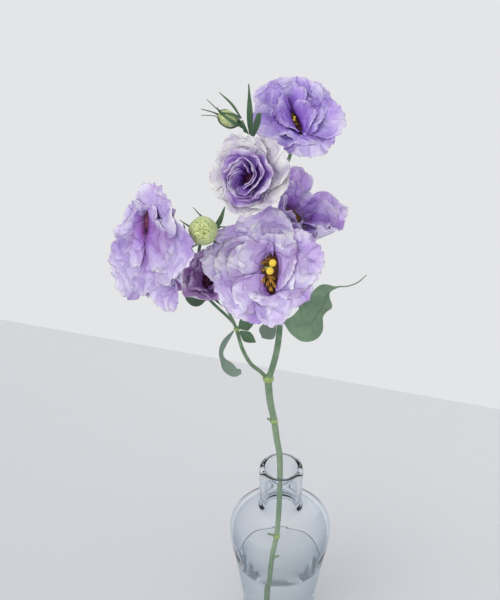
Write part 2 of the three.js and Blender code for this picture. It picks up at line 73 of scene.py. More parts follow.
# %% Place the camera
TILT = 55.3  # degrees up from looking straight down
camera = bpy.data.objects.new("camera", bpy.data.cameras.new("camera"))
bpy.context.scene.collection.objects.link(camera)
camera.data.lens = 69
camera.data.sensor_width = 36
camera.location = (-0.02303, -0.62601, 0.74701)
camera.rotation_euler = (math.radians(TILT), 0, 0)
bpy.context.scene.camera = camera
print("camera looks down by", round(90 - TILT, 1), "degrees")

# %% [markdown]
# ## Small helpers for shaders
#
# A procedural finish is a little network of nodes. Adding a node always takes the same steps: make
# it, set its options, then feed its inputs with a number, a colour or another node's output. One
# helper does all three, and the rest of the file reads as a list of nodes from first to last.

# %% Helpers that build node networks
def paint(code):
    """A colour written as six hex digits, as the linear colour that a shader wants."""
    parts = [int(code[i : i + 2], 16) / 255 for i in (0, 2, 4)]
    return (*(c / 12.92 if c < 0.04045 else ((c + 0.055) / 1.055) ** 2.4 for c in parts), 1.0)


def feed(tree, inputs, feeds):
    """Gives each named input a number, a colour or another node's output."""
    for name, value in feeds.items():
        if isinstance(value, bpy.types.NodeSocket):
            tree.links.new(value, inputs[name])
        else:
            inputs[name].default_value = value


def add(tree, kind, feeds=None, **options):
    """A new shader node with its options set and its inputs fed."""
    made = tree.nodes.new("ShaderNode" + kind)
    for name, value in options.items():
        setattr(made, name, value)
    feed(tree, made.inputs, feeds or {})
    return made


def sums(tree, operation, *values):
    """A Math node's result."""
    return add(tree, "Math", dict(enumerate(values)), operation=operation).outputs[0]


def spread(tree, value, start, end, low=0.0, high=1.0, **options):
    """A number that goes from low to high while the value goes from start to end."""
    feeds = dict(enumerate((value, start, end, low, high)))
    return add(tree, "MapRange", feeds, **options).outputs[0]


def cloudy(tree, where, scale, detail, **more):
    """Soft noise from 0 to 1."""
    feeds = {"Vector": where, "Scale": scale, "Detail": detail, **more}
    return add(tree, "TexNoise", feeds).outputs["Fac"]


def blend(tree, factor, first, second, how="MIX"):
    """Two colours mixed by a factor."""
    feeds = {"Factor": factor, 6: first, 7: second}
    return add(tree, "Mix", feeds, data_type="RGBA", blend_type=how).outputs[2]


def ramp(tree, factor, stops):
    """A colour that runs through the stops, each a place from 0 to 1 and a colour."""
    node = add(tree, "ValToRGB", {"Fac": factor})
    steps = node.color_ramp.elements
    while len(steps) < len(stops):
        steps.new(0.5)
    for step, (place, colour) in zip(steps, stops):
        step.position = place
        step.color = colour
    return node.outputs["Color"]


def new_material(name, **constants):
    """A material with its own surface shader, plain numbers set on it, and its object's own frame."""
    material = bpy.data.materials.new(name)
    material.use_nodes = True
    tree = material.node_tree
    tree.nodes.clear()
    surface = add(tree, "BsdfPrincipled")
    for socket, value in constants.items():
        surface.inputs[socket.replace("_", " ").title().replace("Ior", "IOR")].default_value = value
    end = tree.nodes.new("ShaderNodeOutputMaterial")
    tree.links.new(surface.outputs["BSDF"], end.inputs["Surface"])
    return material, tree, surface, add(tree, "TexCoord").outputs["Object"]


def coat(tree, surface, colour, skin, relief, strength, depth):
    """Feeds a surface shader with its colour, with a skin's shine, and with bumps of a depth."""
    bump = add(tree, "Bump", {"Strength": strength, "Distance": depth, "Height": relief})
    feed(tree, surface.inputs, {"Base Color": colour, "Roughness": skin["Roughness"],
                                "Normal": bump.outputs[0]})


print("a colour code becomes", [round(c, 3) for c in paint("c3b1e2")])

# %% [markdown]
# ## Shader groups that several finishes share
#
# Petals, leaves, buds and stems share four things in their skin: a soft unevenness of colour, veins
# that fan out from the foot of the blade, a fine grain that breaks up the shine, and creases, the
# branching lines left where a thin sheet was folded. Each is built once as a group with named
# inputs and outputs. A group gives out only colours, masks, heights and roughness values, and every
# material then uses them with its own numbers, given in the order of the group's inputs.

# %% A helper that opens a new group
def new_group(name, takes, gives):
    """A shader group, with its inputs and outputs named, and the two nodes at its ends."""
    group = bpy.data.node_groups.new(name, "ShaderNodeTree")
    for way, sockets in (("INPUT", takes), ("OUTPUT", gives)):
        for title, kind in sockets.items():
            group.interface.new_socket(title, in_out=way, socket_type="NodeSocket" + kind)
    return group, group.nodes.new("NodeGroupInput").outputs, group.nodes.new("NodeGroupOutput").inputs


def use(tree, group, *values):
    """A group placed in a material, with its inputs fed in their order."""
    placed = tree.nodes.new("ShaderNodeGroup")
    placed.node_tree = group
    feed(tree, placed.inputs, dict(enumerate(values)))
    return placed.outputs


# %% Soft mottling of a colour
mottle, takes, gives = new_group(
    "soft mottle",
    {"Vector": "Vector", "Colour": "Color", "Patch": "Color", "Scale": "Float", "Amount": "Float"},
    {"Colour": "Color"})
cloud = cloudy(mottle, takes["Vector"], takes["Scale"], 3.0)
share = spread(mottle, cloud, 0.35, 0.65, 0.0, takes["Amount"])
feed(mottle, gives, {"Colour": blend(mottle, share, takes["Colour"], takes["Patch"])})


def mottled(tree, where, colour, patch, scale, amount):
    """A colour with soft patches of another one."""
    return use(tree, mottle, where, colour, patch, scale, amount)["Colour"]


# %% Veins that fan out from the foot of a blade
fan_veins, takes, gives = new_group(
    "fan veins", dict.fromkeys(("Across", "Along", "Count", "Waver", "Seed", "Width"), "Float"),
    {"Mask": "Float", "Height": "Float"})
place = add(fan_veins, "CombineXYZ", {"X": takes["Across"], "Y": takes["Along"], "Z": takes["Seed"]})
stray = cloudy(fan_veins, place.outputs[0], 7.0, 2.0)
bent = sums(fan_veins, "MULTIPLY_ADD", stray, takes["Waver"], takes["Across"])
strand = sums(fan_veins, "PINGPONG", sums(fan_veins, "MULTIPLY", bent, takes["Count"]), 0.5)
line = spread(fan_veins, strand, 0.0, takes["Width"], 1.0, 0.0, interpolation_type="SMOOTHSTEP")
feed(fan_veins, gives, {"Mask": line, "Height": sums(fan_veins, "MULTIPLY", line, -1.0)})

# %% Fine grain for bumps and shine
grain, takes, gives = new_group(
    "skin grain",
    {"Vector": "Vector", "Scale": "Float", "Rough from": "Float", "Rough to": "Float"},
    {"Height": "Float", "Roughness": "Float"})
pores = cloudy(grain, takes["Vector"], takes["Scale"], 4.0)
shine = spread(grain, pores, 0.3, 0.7, takes["Rough from"], takes["Rough to"])
feed(grain, gives, {"Height": pores, "Roughness": shine})

# %% Creases for crumpled sheets
creases, takes, gives = new_group(
    "creases", {"Vector": "Vector", "Scale": "Float", "Width": "Float"},
    {"Mask": "Float", "Height": "Float"})
level = cloudy(creases, takes["Vector"], takes["Scale"], 2.0, Distortion=0.6)
apart = sums(creases, "ABSOLUTE", sums(creases, "SUBTRACT", level, 0.5))
line = spread(creases, apart, takes["Width"], 0.0, interpolation_type="SMOOTHERSTEP")
feed(creases, gives, {"Mask": line, "Height": sums(creases, "MULTIPLY", line, -1.0)})
print("shader groups:", [group.name for group in bpy.data.node_groups])

# %% [markdown]
# ## The table, the light and the room
#
# The spray stands on a pale painted table in front of a bright plain wall. The table is a flat
# sheet that ends in a slanting far edge. The wall is the world's own plain colour, which also
# gives the soft light from everywhere. It lights the petals a little less than it shows, so their
# folds keep some shade. A broad lamp above and to the left stands in for a window. Two wide weak
# ones in front keep the near petals open, and one behind shines through the thin rims.

# %% Lay the table
TABLE_CORNERS = ((-3.0, 1.205), (-3.0, -3.0), (3.0, -3.0), (3.0, -0.551))
TABLE_TOP = -0.0002  # just under the bottle's foot, so that the two don't lie in one plane
sheet = bmesh.new()
sheet.faces.new([sheet.verts.new((*corner, TABLE_TOP)) for corner in TABLE_CORNERS])
table_mesh = bpy.data.meshes.new("table")
sheet.to_mesh(table_mesh)
sheet.free()
table = bpy.data.objects.new("table", table_mesh)
bpy.context.scene.collection.objects.link(table)
table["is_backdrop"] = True
table_paint, tree, surface, where = new_material("pale table paint")
place = add(tree, "SeparateXYZ", {0: where})
# Painted shade: the table's colour darkens towards the front and the left, where less light falls.
slant = sums(tree, "MULTIPLY_ADD", place.outputs["X"], 0.5, place.outputs["Y"])
shade = blend(tree, spread(tree, slant, -0.45, 0.25), paint("bfc1c7"), paint("d6d7da"))
feed(tree, surface.inputs, {"Base Color": mottled(tree, where, shade, paint("d0d1d5"), 3.0, 0.2),
                            "Roughness": use(tree, grain, where, 90.0, 0.5, 0.62)["Roughness"]})
table_mesh.materials.append(table_paint)

# %% Light the room
world = bpy.data.worlds.new("room")
bpy.context.scene.world = world
world.use_nodes = True
tree = world.node_tree
tree.nodes.clear()
seen = add(tree, "LightPath")
strength = spread(tree, seen.outputs["Is Diffuse Ray"], 0.0, 1.0, 1.0, 0.8)
wall = add(tree, "Background", {"Color": paint("e4e5e7"), "Strength": strength})
end = tree.nodes.new("ShaderNodeOutputWorld")
tree.links.new(wall.outputs[0], end.inputs["Surface"])


def lamp(name, place, aim, size, power):
    """A square soft lamp that looks at a point."""
    data = bpy.data.lights.new(name, "AREA")
    data.shape, data.size, data.energy = "SQUARE", size, power
    made = bpy.data.objects.new(name, data)
    made.location = place
    made.rotation_euler = (Vector(aim) - Vector(place)).to_track_quat("-Z", "Y").to_euler()
    bpy.context.scene.collection.objects.link(made)


lamp("window", (-1.1, -0.8, 1.5), (0, 0, 0.3), 1.5, 14)
lamp("fill", (1.3, -0.8, 0.9), (0, 0, 0.3), 1.2, 2)
lamp("front", (0.1, -1.5, 1.1), (0, 0, 0.3), 1.8, 5.5)
lamp("back", (0.7, 1.5, 1.1), (0, 0, 0.2), 1.2, 7)
GLASS_BOUNCES = 28  # how often light may bend or bounce on its way through glass and water
bpy.context.scene.view_settings.view_transform = "Standard"
bpy.context.scene.cycles.max_bounces = GLASS_BOUNCES
bpy.context.scene.cycles.transmission_bounces = GLASS_BOUNCES
print("lamps:", [light.name for light in bpy.data.lights])

# %% [markdown]
# ## How a piece is finished
#
# All the shapes below are worked out in millimetres, which is how a gardener or a glass blower
# would measure them, and turned into metres only at the end. A finished piece keeps its object at
# the origin with its place in the mesh, rides on the frame's one body, and takes the place of the
# plain solid that stood there.

# %% Helpers for pieces
MM = 0.001
FINE_STEPS = 24  # steps between two points of a route, before they are spaced evenly


def finish_piece(bm, name, stands_for, materials, wall=None):
    """Makes a bmesh in millimetres into a smooth piece in metres that stands for a solid."""
    bmesh.ops.scale(bm, vec=(MM,) * 3, verts=bm.verts)
    for face in bm.faces:
        face.smooth = True
    mesh = bpy.data.meshes.new(name)
    bm.to_mesh(mesh)
    bm.free()
    for material in materials:
        mesh.materials.append(material)
    piece = bpy.data.objects.new(name, mesh)
    bpy.context.scene.collection.objects.link(piece)
    if wall:
        thick = piece.modifiers.new("thickness", "SOLIDIFY")
        thick.thickness = wall * MM
        thick.offset = 0
    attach(piece, "root")
    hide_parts(*stands_for)
    return piece


def skin_new_faces(bm, old, index):
    """Gives the faces that were not among the old ones another material of the piece."""
    for face in set(bm.faces) - old:
        face.material_index = index


def mix(a, b, t):
    """A value between a and b."""
    return a + (b - a) * t


def smooth_path(points, count):
    """Evenly spaced points on a smooth curve through the given ones (a centripetal spline)."""
    points = [Vector(p) for p in points]
    line = [points[0] * 2 - points[1], *points, points[-1] * 2 - points[-2]]
    fine = []
    for p0, p1, p2, p3 in zip(line, line[1:], line[2:], line[3:]):
        gap = [max(1e-4, (b - a).length) ** 0.5 for a, b in ((p0, p1), (p1, p2), (p2, p3))]
        slope1 = (p1 - p0) / gap[0] - (p2 - p0) / (gap[0] + gap[1]) + (p2 - p1) / gap[1]
        slope2 = (p2 - p1) / gap[1] - (p3 - p1) / (gap[1] + gap[2]) + (p3 - p2) / gap[2]
        slope1, slope2 = slope1 * gap[1], slope2 * gap[1]
        for step in range(FINE_STEPS):
            t = step / FINE_STEPS
            fine.append(
                p1 * (2 * t**3 - 3 * t**2 + 1) + slope1 * (t**3 - 2 * t**2 + t)
                + p2 * (3 * t**2 - 2 * t**3) + slope2 * (t**3 - t**2)
            )
    fine.append(points[-1])
    run = [0.0]
    for a, b in zip(fine, fine[1:]):
        run.append(run[-1] + (b - a).length)
    even, i = [], 0
    for step in range(count):
        goal = run[-1] * step / (count - 1)
        while i < len(run) - 2 and run[i + 1] < goal:
            i += 1
        even.append(fine[i].lerp(fine[i + 1], (goal - run[i]) / max(1e-9, run[i + 1] - run[i])))
    return even


print("a path of 5:", [tuple(round(x, 1) for x in p) for p in smooth_path([(0, 0, 0), (9, 0, 9)], 5)])

# %% [markdown]
# ## The glass bottle
#
# A bottle vase is blown or pressed glass with a round shoulder, a straight narrow neck and a thick
# floor. Half of its cross-section is drawn once, outside and inside, and spun about the middle.
# That gives a true wall, and a wall is what makes glass look like glass: light bends where
# it enters and again where it leaves. Clear glass is a surface shader with full transmission and a
# roughness near nothing. Real glass bends light by 1.5. Here the number is lower, 1.22, because at
# 1.5 the thick rim catches so many inner reflections that it turns black. In their place a slate
# tone, like that of real glass seen edge on, is painted in where the surface turns away from the
# eye: painted shade for those dark reflections.

# %% Values of the bottle
VASE_OUTSIDE = [
    (24, 0), (26.5, 2), (28.2, 22), (30.6, 46), (34.6, 74), (37.6, 92), (38.5, 101), (37.8, 108),
    (35, 113.5), (29.5, 117.8), (22.5, 120.8), (18, 123.6), (16, 128), (16, 145), (16, 162.5),
    (15.2, 164.3), (14, 165),
]
VASE_INSIDE = [
    (12.6, 164.2), (12, 162), (12, 143), (12, 125), (14.4, 119.4), (27, 114.4), (33.2, 109),
    (35.7, 99), (31.4, 72), (27.6, 45), (25.2, 22), (22.6, 11.5), (18, 8.6),
]
VASE_FLOOR = 8
WATER_LEVEL = 72
ROUND = 96  # faces round the bottle and its water


def spun(profile, steps):
    """A closed round body: a half cross-section in X and Z, spun once about Z."""
    bm = bmesh.new()
    chain = [bm.verts.new((radius, 0, height)) for radius, height in profile]
    edges = [bm.edges.new(pair) for pair in zip(chain, chain[1:])]
    bmesh.ops.spin(bm, geom=chain + edges, cent=(0, 0, 0), axis=(0, 0, 1), angle=math.tau,
                   steps=steps, use_merge=True)
    bmesh.ops.remove_doubles(bm, verts=bm.verts, dist=1e-4)
    bmesh.ops.recalc_face_normals(bm, faces=bm.faces)
    return bm


def curve_of(profile, count):
    """The profile drawn as a smooth line of count points."""
    return [(p.x, p.z) for p in smooth_path([(radius, 0, height) for radius, height in profile], count)]


# %% Glass
glass, tree, surface, where = new_material("clear glass", roughness=0.02, ior=1.22, transmission_weight=1.0)
clear = mottled(tree, where, paint("fcfdfe"), paint("f8fbfd"), 12.0, 0.8)
# Painted shade: a slate colour is mixed in where the surface turns away from the eye, in place of the dark
# inner reflections of thick glass.
glancing = add(tree, "LayerWeight", {"Blend": 0.5})
edge = sums(tree, "POWER", glancing.outputs["Facing"], 2.0)
swirl = cloudy(tree, where, 22.0, 1.0)
bump = add(tree, "Bump", {"Strength": 0.12, "Distance": 0.0015, "Height": swirl})
feed(tree, surface.inputs, {"Base Color": blend(tree, edge, clear, paint("94aec6")),
                            "Normal": bump.outputs[0]})

# %% Spin the bottle
profile = [(0, 0), *curve_of(VASE_OUTSIDE, 72), *curve_of(VASE_INSIDE, 60), (0, VASE_FLOOR)]
bottle = finish_piece(spun(profile, ROUND), "glass_bottle", ["glass_vase"], [glass])
print("bottle faces:", len(bottle.data.polygons), "height:", round(bottle.dimensions.z * 1000, 1), "mm")

# %% [markdown]
# ## The water
#
# The bottle is filled to a little under half of its height. The water's side is spun from the same
# inside line as the bottle, a twentieth of a millimetre further out, so that there is no
# thin layer of air between them: air there would shine like a mirror. At the rim the surface
# climbs the glass by about a millimetre, which is the bright line seen round real water. Its
# refraction is lowered in step with the glass, from 1.33 to 1.12.

# %% Water
water_look, tree, surface, where = new_material("water", roughness=0.0, ior=1.12, transmission_weight=1.0)
tint = mottled(tree, where, paint("fbfdfd"), paint("f4f9f7"), 20.0, 0.6)
feed(tree, surface.inputs, {"Base Color": tint})

# %% Spin the water
bottom, flat_level = VASE_FLOOR + 0.3, WATER_LEVEL - 0.8
wetted = [(radius + 0.05, max(height, bottom)) for radius, height in curve_of(VASE_INSIDE, 120)
          if height <= WATER_LEVEL + 0.2]
rim = wetted[0][0]
climb = [(rim * k, flat_level + k**24) for k in (0.3, 0.6, 0.8, 0.9, 0.95, 0.98)]
profile = [(0, flat_level), *climb, *wetted, (0, bottom)]
water = finish_piece(spun(profile, ROUND), "vase_water", ["water"], [water_look])
print("water stands", round(max(v.co.z for v in water.data.vertices) * 1000, 1), "mm high")

# %% [markdown]
# ## Rods: stems, stalks and sepals
#
# Every stem here is a rod that changes its thickness slowly. A ring of points is extruded from
# station to station along a smooth path. At each station the new ring is moved to its place and
# turned to face along the path, in the way that a pipe bender pushes a tube. Both ends are then
# filled.

# %% A helper that extrudes a rod
def rod(bm, points, radius, sides=12, count=24):
    """A closed rod along a smooth path; radius(t) gives its half thickness from foot to tip."""
    path = smooth_path(points, count)
    ways = [(b - a).normalized() for a, b in zip([path[0], *path], [*path[1:], path[-1] * 2 - path[-2]])]
    ways[0] = ways[1]
    side = ways[0].orthogonal().normalized()
    ring = bmesh.ops.create_circle(bm, cap_ends=False, radius=1, segments=sides)["verts"]
    angles = [math.tau * i / sides for i in range(sides)]
    first = ring
    for i, (centre, way) in enumerate(zip(path, ways)):
        if i:
            side = (side - way * side.dot(way)).normalized()
            loop = [bm.edges.get((a, b)) for a, b in zip(ring, ring[1:] + ring[:1])]
            made = bmesh.ops.extrude_edge_only(bm, edges=loop)["geom"]
            fresh = {v for v in made if isinstance(v, bmesh.types.BMVert)}
            ring = [next(e.other_vert(v) for e in v.link_edges if e.other_vert(v) in fresh) for v in ring]
        other = way.cross(side)
        width = radius(i / (count - 1))
        for vert, angle in zip(ring, angles):
            vert.co = centre + (side * math.cos(angle) + other * math.sin(angle)) * width
    bm.faces.new(first)
    bm.faces.new(ring)


def ball(bm, centre, radii, way=(0, 0, 1), segments=16):
    """An egg at a place, long along its way."""
    turn = Vector((0, 0, 1)).rotation_difference(Vector(way)).to_matrix().to_4x4()
    place = Matrix.Translation(Vector(centre)) @ turn @ Matrix.Diagonal((*radii, 1))
    bmesh.ops.create_uvsphere(bm, u_segments=segments, v_segments=segments // 2 + 2, radius=1, matrix=place)


# %% [markdown]
# ## Where the flowers stand
#
# A flower is easiest to make upright, with its mouth looking along Z, and then to turn and move as
# a whole. Each flower is described by where its petals meet, how far its mouth turns to the left of the
# front (facing) and how far it looks up (lift). The shortest turn from Z to that direction places
# it, and the same numbers place its stalk and its green sepals. Values that most flowers share are
# written once, and a flower's own ones go over them.

# %% Values of the blooms and buds
USUAL = dict(size=1, sepal_spin=0, wrap=1.25, lap=0.9, throat=(0, 0), pressed=(0, 0))
BLOOMS = {
    "front": dict(base=(-10.8, -14, 346), facing=13, lift=38, spin=10, ruffle=1.8, slit=(0.0, 2.3, 85),
                  seed=11, throat=(3.4, -3.2)),
    "left": dict(base=(-71.5, 0, 356.5), facing=47, lift=14, size=1.1, sepal_spin=36, spin=40, ruffle=1.9,
                 slit=(0.6, 1.7, 60), seed=23, throat=(1.5, 19)),
    "top": dict(base=(4.6, 22, 430), facing=5, lift=52, size=0.8, spin=70, ruffle=3.1,
                slit=(0.45, 2.8, 112), seed=37, throat=(1.5, -3), pressed=(180, 0.2)),
    "centre": dict(base=(-16, -2, 405.6), facing=20, lift=28, size=0.94, spin=25, ruffle=0.6,
                   slit=(0.2, 0.2, 60), seed=41, wrap=1.6, lap=2.1, throat=(-5.5, 1)),
    "right": dict(base=(4, 16, 364), facing=-40, lift=58, size=0.86, spin=15, ruffle=3.2,
                  slit=(0.1, 1.2, 165), seed=53, throat=(-4.5, 0), pressed=(210, 0.5)),
    "rear": dict(base=(-50, 1, 326), facing=5, lift=52, spin=20, ruffle=1.6, slit=(0.1, 0.1, 90), seed=67,
                 pressed=(90, 0.5)),
}
BUDS = {
    "left": dict(base=(-51, -16, 376), facing=5, lift=35, sepal_spin=20, radius=8.8, length=19),
    "top": dict(base=(-31.8, -3.2, 444.3), facing=60, lift=38, radius=4.4, length=12.6),
}
for flowers in (BLOOMS, BUDS):
    flowers.update({name: {**USUAL, **flower} for name, flower in flowers.items()})


def heading(turn):
    """The flat direction at an angle in degrees, from X towards Y."""
    return Vector((math.cos(math.radians(turn)), math.sin(math.radians(turn)), 0))


def flower_frame(flower):
    """From a flower's own upright frame to the part's frame, in millimetres."""
    turn, lift = math.radians(flower["facing"]), math.radians(flower["lift"])
    axis = Vector((-math.sin(turn) * math.cos(lift), -math.cos(turn) * math.cos(lift), math.sin(lift)))
    return (Matrix.Translation(Vector(flower["base"]))
            @ Vector((0, 0, 1)).rotation_difference(axis).to_matrix().to_4x4()
            @ Matrix.Scale(flower["size"], 4))


print("flowers:", len(BLOOMS), "blooms and", len(BUDS), "buds")

# %% [markdown]
# ## Thin blades
#
# Petals, sepals and leaves are all thin sheets, so they share one helper. A flat grid is made by an
# operator, with its own UV map. A formula then moves every point of it to a curved surface, where
# u runs across from -1 to 1 and v along from 0 to 1. Each point also stores how far along the
# blade it is and a number of its own, so that a shader can colour the foot, the rim and each blade
# differently. The sheet gets its thickness afterwards from a Solidify modifier.

# %% A helper that bends a grid into a blade
def blade(bm, surface, columns, rows, ring=0.0, own=0.0):
    """A grid bent by surface(u, v), with what a shader needs stored on its points."""
    layers = [bm.verts.layers.float.get(name) or bm.verts.layers.float.new(name)
              for name in ("reach", "ring", "own", "fold")]
    bm.loops.layers.uv.verify()
    grid = bmesh.ops.create_grid(bm, x_segments=columns, y_segments=rows, size=1, calc_uvs=True)
    for vert in grid["verts"]:
        u, v = vert.co.x, (vert.co.y + 1) / 2
        vert.co, fold = surface(u, v)
        for layer, value in zip(layers, (v, ring, own, fold)):
            vert[layer] = value


def blade_map(tree):
    """A blade's UV map, and from it how far across and how far along a point is."""
    flat = add(tree, "UVMap", uv_map="UVMap").outputs[0]
    parts = add(tree, "SeparateXYZ", {0: flat}).outputs
    return flat, parts["X"], parts["Y"]


def through(values, t):
    """A smooth value between evenly spaced ones."""
    place = max(0.0, min(1.0, t)) * (len(values) - 1)
    i = min(int(place), len(values) - 2)
    f = place - i
    a, b, c, d = (values[max(0, min(len(values) - 1, j))] for j in (i - 1, i, i + 1, i + 2))
    return b + 0.5 * f * (c - a + f * (2 * a - 5 * b + 4 * c - d + f * (3 * (b - c) + d - a)))


def leaf_surface(route, widths, face, cup, rows, wave=0.0, other=None):
    """The surface of a leaf that lies along a route, with its upper side looking along face."""
    path = smooth_path(route, rows + 1)
    ways = [(b - a).normalized() for a, b in zip([path[0], *path], [*path[1:], path[-1]])]

    def surface(u, v):
        i = round(v * rows)
        upper = Vector(face[0]).lerp(Vector(face[1]), v)
        across = ways[i].cross(upper).normalized()
        out = across.cross(ways[i]).normalized()
        half = max(0.12, through(other if other and u > 0 else widths, v))
        lift = cup * half * u * u - 0.05 * half * math.exp(-((u / 0.12) ** 2))
        lift += wave * half * u * u * math.sin(9 * v + 2.2 * u)
        return path[i] + across * u * half + out * lift, 0.0

    return surface


print("a value half way:", round(through([0, 1, 4, 9], 0.5), 2))

# %% [markdown]
# ## Stem and leaf skins
#
# Lisianthus stems and leaves are covered by a thin wax, which turns a plain green into a grey or
# blue green. The stem is palest low down and darker and greener near the flowers. A ramp over the
# height gives that, mottling breaks it up, and stretched noise gives the faint ribs of a cut stem.
# Joints are a yellower green.

# %% Stem skin
def stem_material(name, low, high, patch):
    """A stem's skin: from a low green to a high one, with faint ribs along it."""
    material, tree, surface, where = new_material(name, subsurface_weight=0.06, subsurface_scale=0.002,
                                                  specular_ior_level=0.35)
    height = add(tree, "SeparateXYZ", {0: where}).outputs["Z"]
    green = ramp(tree, spread(tree, height, 0.16, 0.32), [(0.0, paint(low)), (1.0, paint(high))])
    long = add(tree, "Mapping", {"Vector": where, "Scale": (1.0, 1.0, 0.08)})
    skin = use(tree, grain, where, 900.0, 0.42, 0.62)
    relief = sums(tree, "MULTIPLY_ADD", cloudy(tree, long.outputs[0], 1900.0, 1.0), 1.6, skin["Height"])
    tint = mottled(tree, where, green, paint(patch), 160.0, 0.45)
    coat(tree, surface, tint, skin, relief, 0.35, 0.0003)
    return material


stem_skin = stem_material("stem skin", "8aa284", "4c7050", "9cb092")
joint_skin = stem_material("joint skin", "93ac66", "93ac66", "b4c786")

# %% Leaf skin
def leaf_material(name, body, patch, rib, rim):
    """A leaf's skin: a wax green, paler veins and a paler rim."""
    material, tree, surface, where = new_material(name, subsurface_weight=0.12, subsurface_scale=0.002,
                                                  specular_ior_level=0.35)
    _, across, along = blade_map(tree)
    side = sums(tree, "ABSOLUTE", sums(tree, "SUBTRACT", across, 0.5))
    slant = sums(tree, "MULTIPLY_ADD", side, -0.55, along)
    veins = use(tree, fan_veins, slant, side, 9.0, 0.04, 2.0, 0.16)
    middle = spread(tree, side, 0.0, 0.035, 1.0, 0.0, interpolation_type="SMOOTHSTEP")
    lines = sums(tree, "MAXIMUM", sums(tree, "MULTIPLY", veins["Mask"], 0.35), middle)
    green = mottled(tree, where, paint(body), paint(patch), 130.0, 0.7)
    green = blend(tree, sums(tree, "MULTIPLY", lines, 0.55), green, paint(rib))
    green = blend(tree, sums(tree, "MULTIPLY", spread(tree, side, 0.46, 0.5), 0.5), green, paint(rim))
    skin = use(tree, grain, where, 700.0, 0.48, 0.66)
    relief = sums(tree, "MULTIPLY_ADD", lines, -1.3, skin["Height"])
    coat(tree, surface, green, skin, relief, 0.4, 0.0004)
    return material


pale_leaf = leaf_material("pale leaf skin", "436b3a", "85a878", "a6ba96", "8ea894")
dull_leaf = leaf_material("dull leaf skin", "4e695c", "6a8274", "849a8a", "93a596")
dark_leaf = leaf_material("dark leaf skin", "26472f", "3e6046", "5c8060", "6c8c6a")
print("green skins:", [m.name for m in (stem_skin, joint_skin, pale_leaf, dull_leaf, dark_leaf)])

# %% [markdown]
# ## The stem
#
# One stem rises from the water, leans towards the mouth's rim and forks above it. From the forks
# thin stalks run to the blooms and buds. All are rods, and they meet in small swollen
# joints, which are eggs set over the crossing. Each flower sits in a little green cup, and five
# narrow sepals spread from it behind the petals.

# %% Values of the stem
LIMBS = [
    ([(-9.5, -13.5, 10.5), (-5.9, -5, 75), (-2.4, 0, 94), (-1, 9.2, 166), (-3.2, 9.6, 181.5),
      (-5.6, 9.5, 201), (-8.8, 8, 221), (-10.4, 6, 242)], 1.9, 2.7),
    ([(-10.4, 6, 240), (-14.6, 5, 248), (-22.3, 3, 257.6), (-27.8, 1, 271), (-30.5, -1, 283),
      (-32.4, -3, 293.6)], 1.4, 1.2),
    ([(-10.4, 6, 240), (-5.7, 5, 261), (-3.6, 4, 277.5), (-2.8, 4, 293.4), (-1.6, 8, 308), (-3.2, 10, 331),
      (-8.7, 10, 354), (-14, 10, 375)], 2.2, 1.5),
    ([(-31.6, -2.4, 290), (-34, -3.4, 297), (-39, -4, 304), (-46, -4, 312), (-51.3, -4, 318.7)], 1.0, 1.0),
    ([(-31.6, -2.4, 290), (-34, -3.2, 298), (-37.8, -3.4, 308), (-41.4, -2, 318), (-44.4, 1.4, 329)],
     1.0, 0.8),
    ([(-14, 10, 374), (-19, 12, 388), (-23, 11, 402), (-24.2, 9, 417), (-24.6, 2, 432.4),
      (-28.1, -2, 444.3)], 1.2, 1.2),
]
STALKS = {
    "front": [(-2.4, 9.4, 322), (-5.4, 5, 331)],
    "left": [(-51, -4, 317.5), (-55.2, 3.4, 322.5), (-58, 10, 336), (-63, 9, 350)],
    "top": [(-14, 10, 374), (-7, 17, 391), (2, 24, 407)],
    "centre": [(-14, 10, 374), (-13.5, 10.5, 388)],
    "right": [(-4, 10, 335), (-1.5, 14, 347)],
    "rear": [(-50.4, -3.4, 316)],
}
BUD_STALKS = {
    "left": [(-57.4, 9.4, 333), (-56, 9.5, 348), (-53, 0, 363)],
    "top": [(-27.6, -1.6, 443)],
}
KNOTS = [((-2.6, -0.6, 93), 3), ((-5.9, 9.5, 201), 3.2), ((-10.2, 6, 242.4), 4.0), ((-32, -2.8, 292), 2.2),
         ((-14, 10, 374), 1.9), ((-51.2, -4, 318), 1.7)]
STUBS = [[(-3, -0.6, 93), (-9, -3, 98)], [(-5.6, -4.6, 73.6), (-1, -7.5, 79)],
         [(-6, 9, 201), (-10.4, 7, 204.6)]]
# For blooms and for buds: the stalks, what a cup's width grows with, a stalk's half thickness, the
# heights of its end and of the cup on the flower's axis, the cup's half widths, and the stations.
CUPS = (
    (BLOOMS, STALKS, "size", 1.15, (-9, -5), (-7, -4, -1, 1.6), [1.1, 2.1, 3.1, 3.9], (24, 10)),
    (BUDS, BUD_STALKS, "radius", 1.1, (-6.7, -2.7), (-4, -2.4, -0.6, 1.4), [0.14, 0.28, 0.44, 0.62],
     (20, 8)),
)


# %% Sepals in a flower's own frame
SEPAL_GRID = (4, 16)


def add_sepals(bm, flower, profile, widths):
    """Five narrow pointed sepals that follow a profile of distance from the axis and height."""
    place = flower_frame(flower)
    for i in range(5):
        angle = math.radians(flower["sepal_spin"]) + i / 5 * math.tau
        lean = 0.10 * math.sin(2.4 * i + flower["base"][2])
        route = [place @ Vector((r * math.cos(angle + lean * k), r * math.sin(angle + lean * k), z))
                 for k, (r, z) in enumerate(profile)]
        away = place.to_3x3() @ Vector((math.cos(angle), math.sin(angle), -0.6))
        surface = leaf_surface(route, widths, (away, away), 0.5, SEPAL_GRID[1])
        blade(bm, surface, *SEPAL_GRID, own=i / 5)


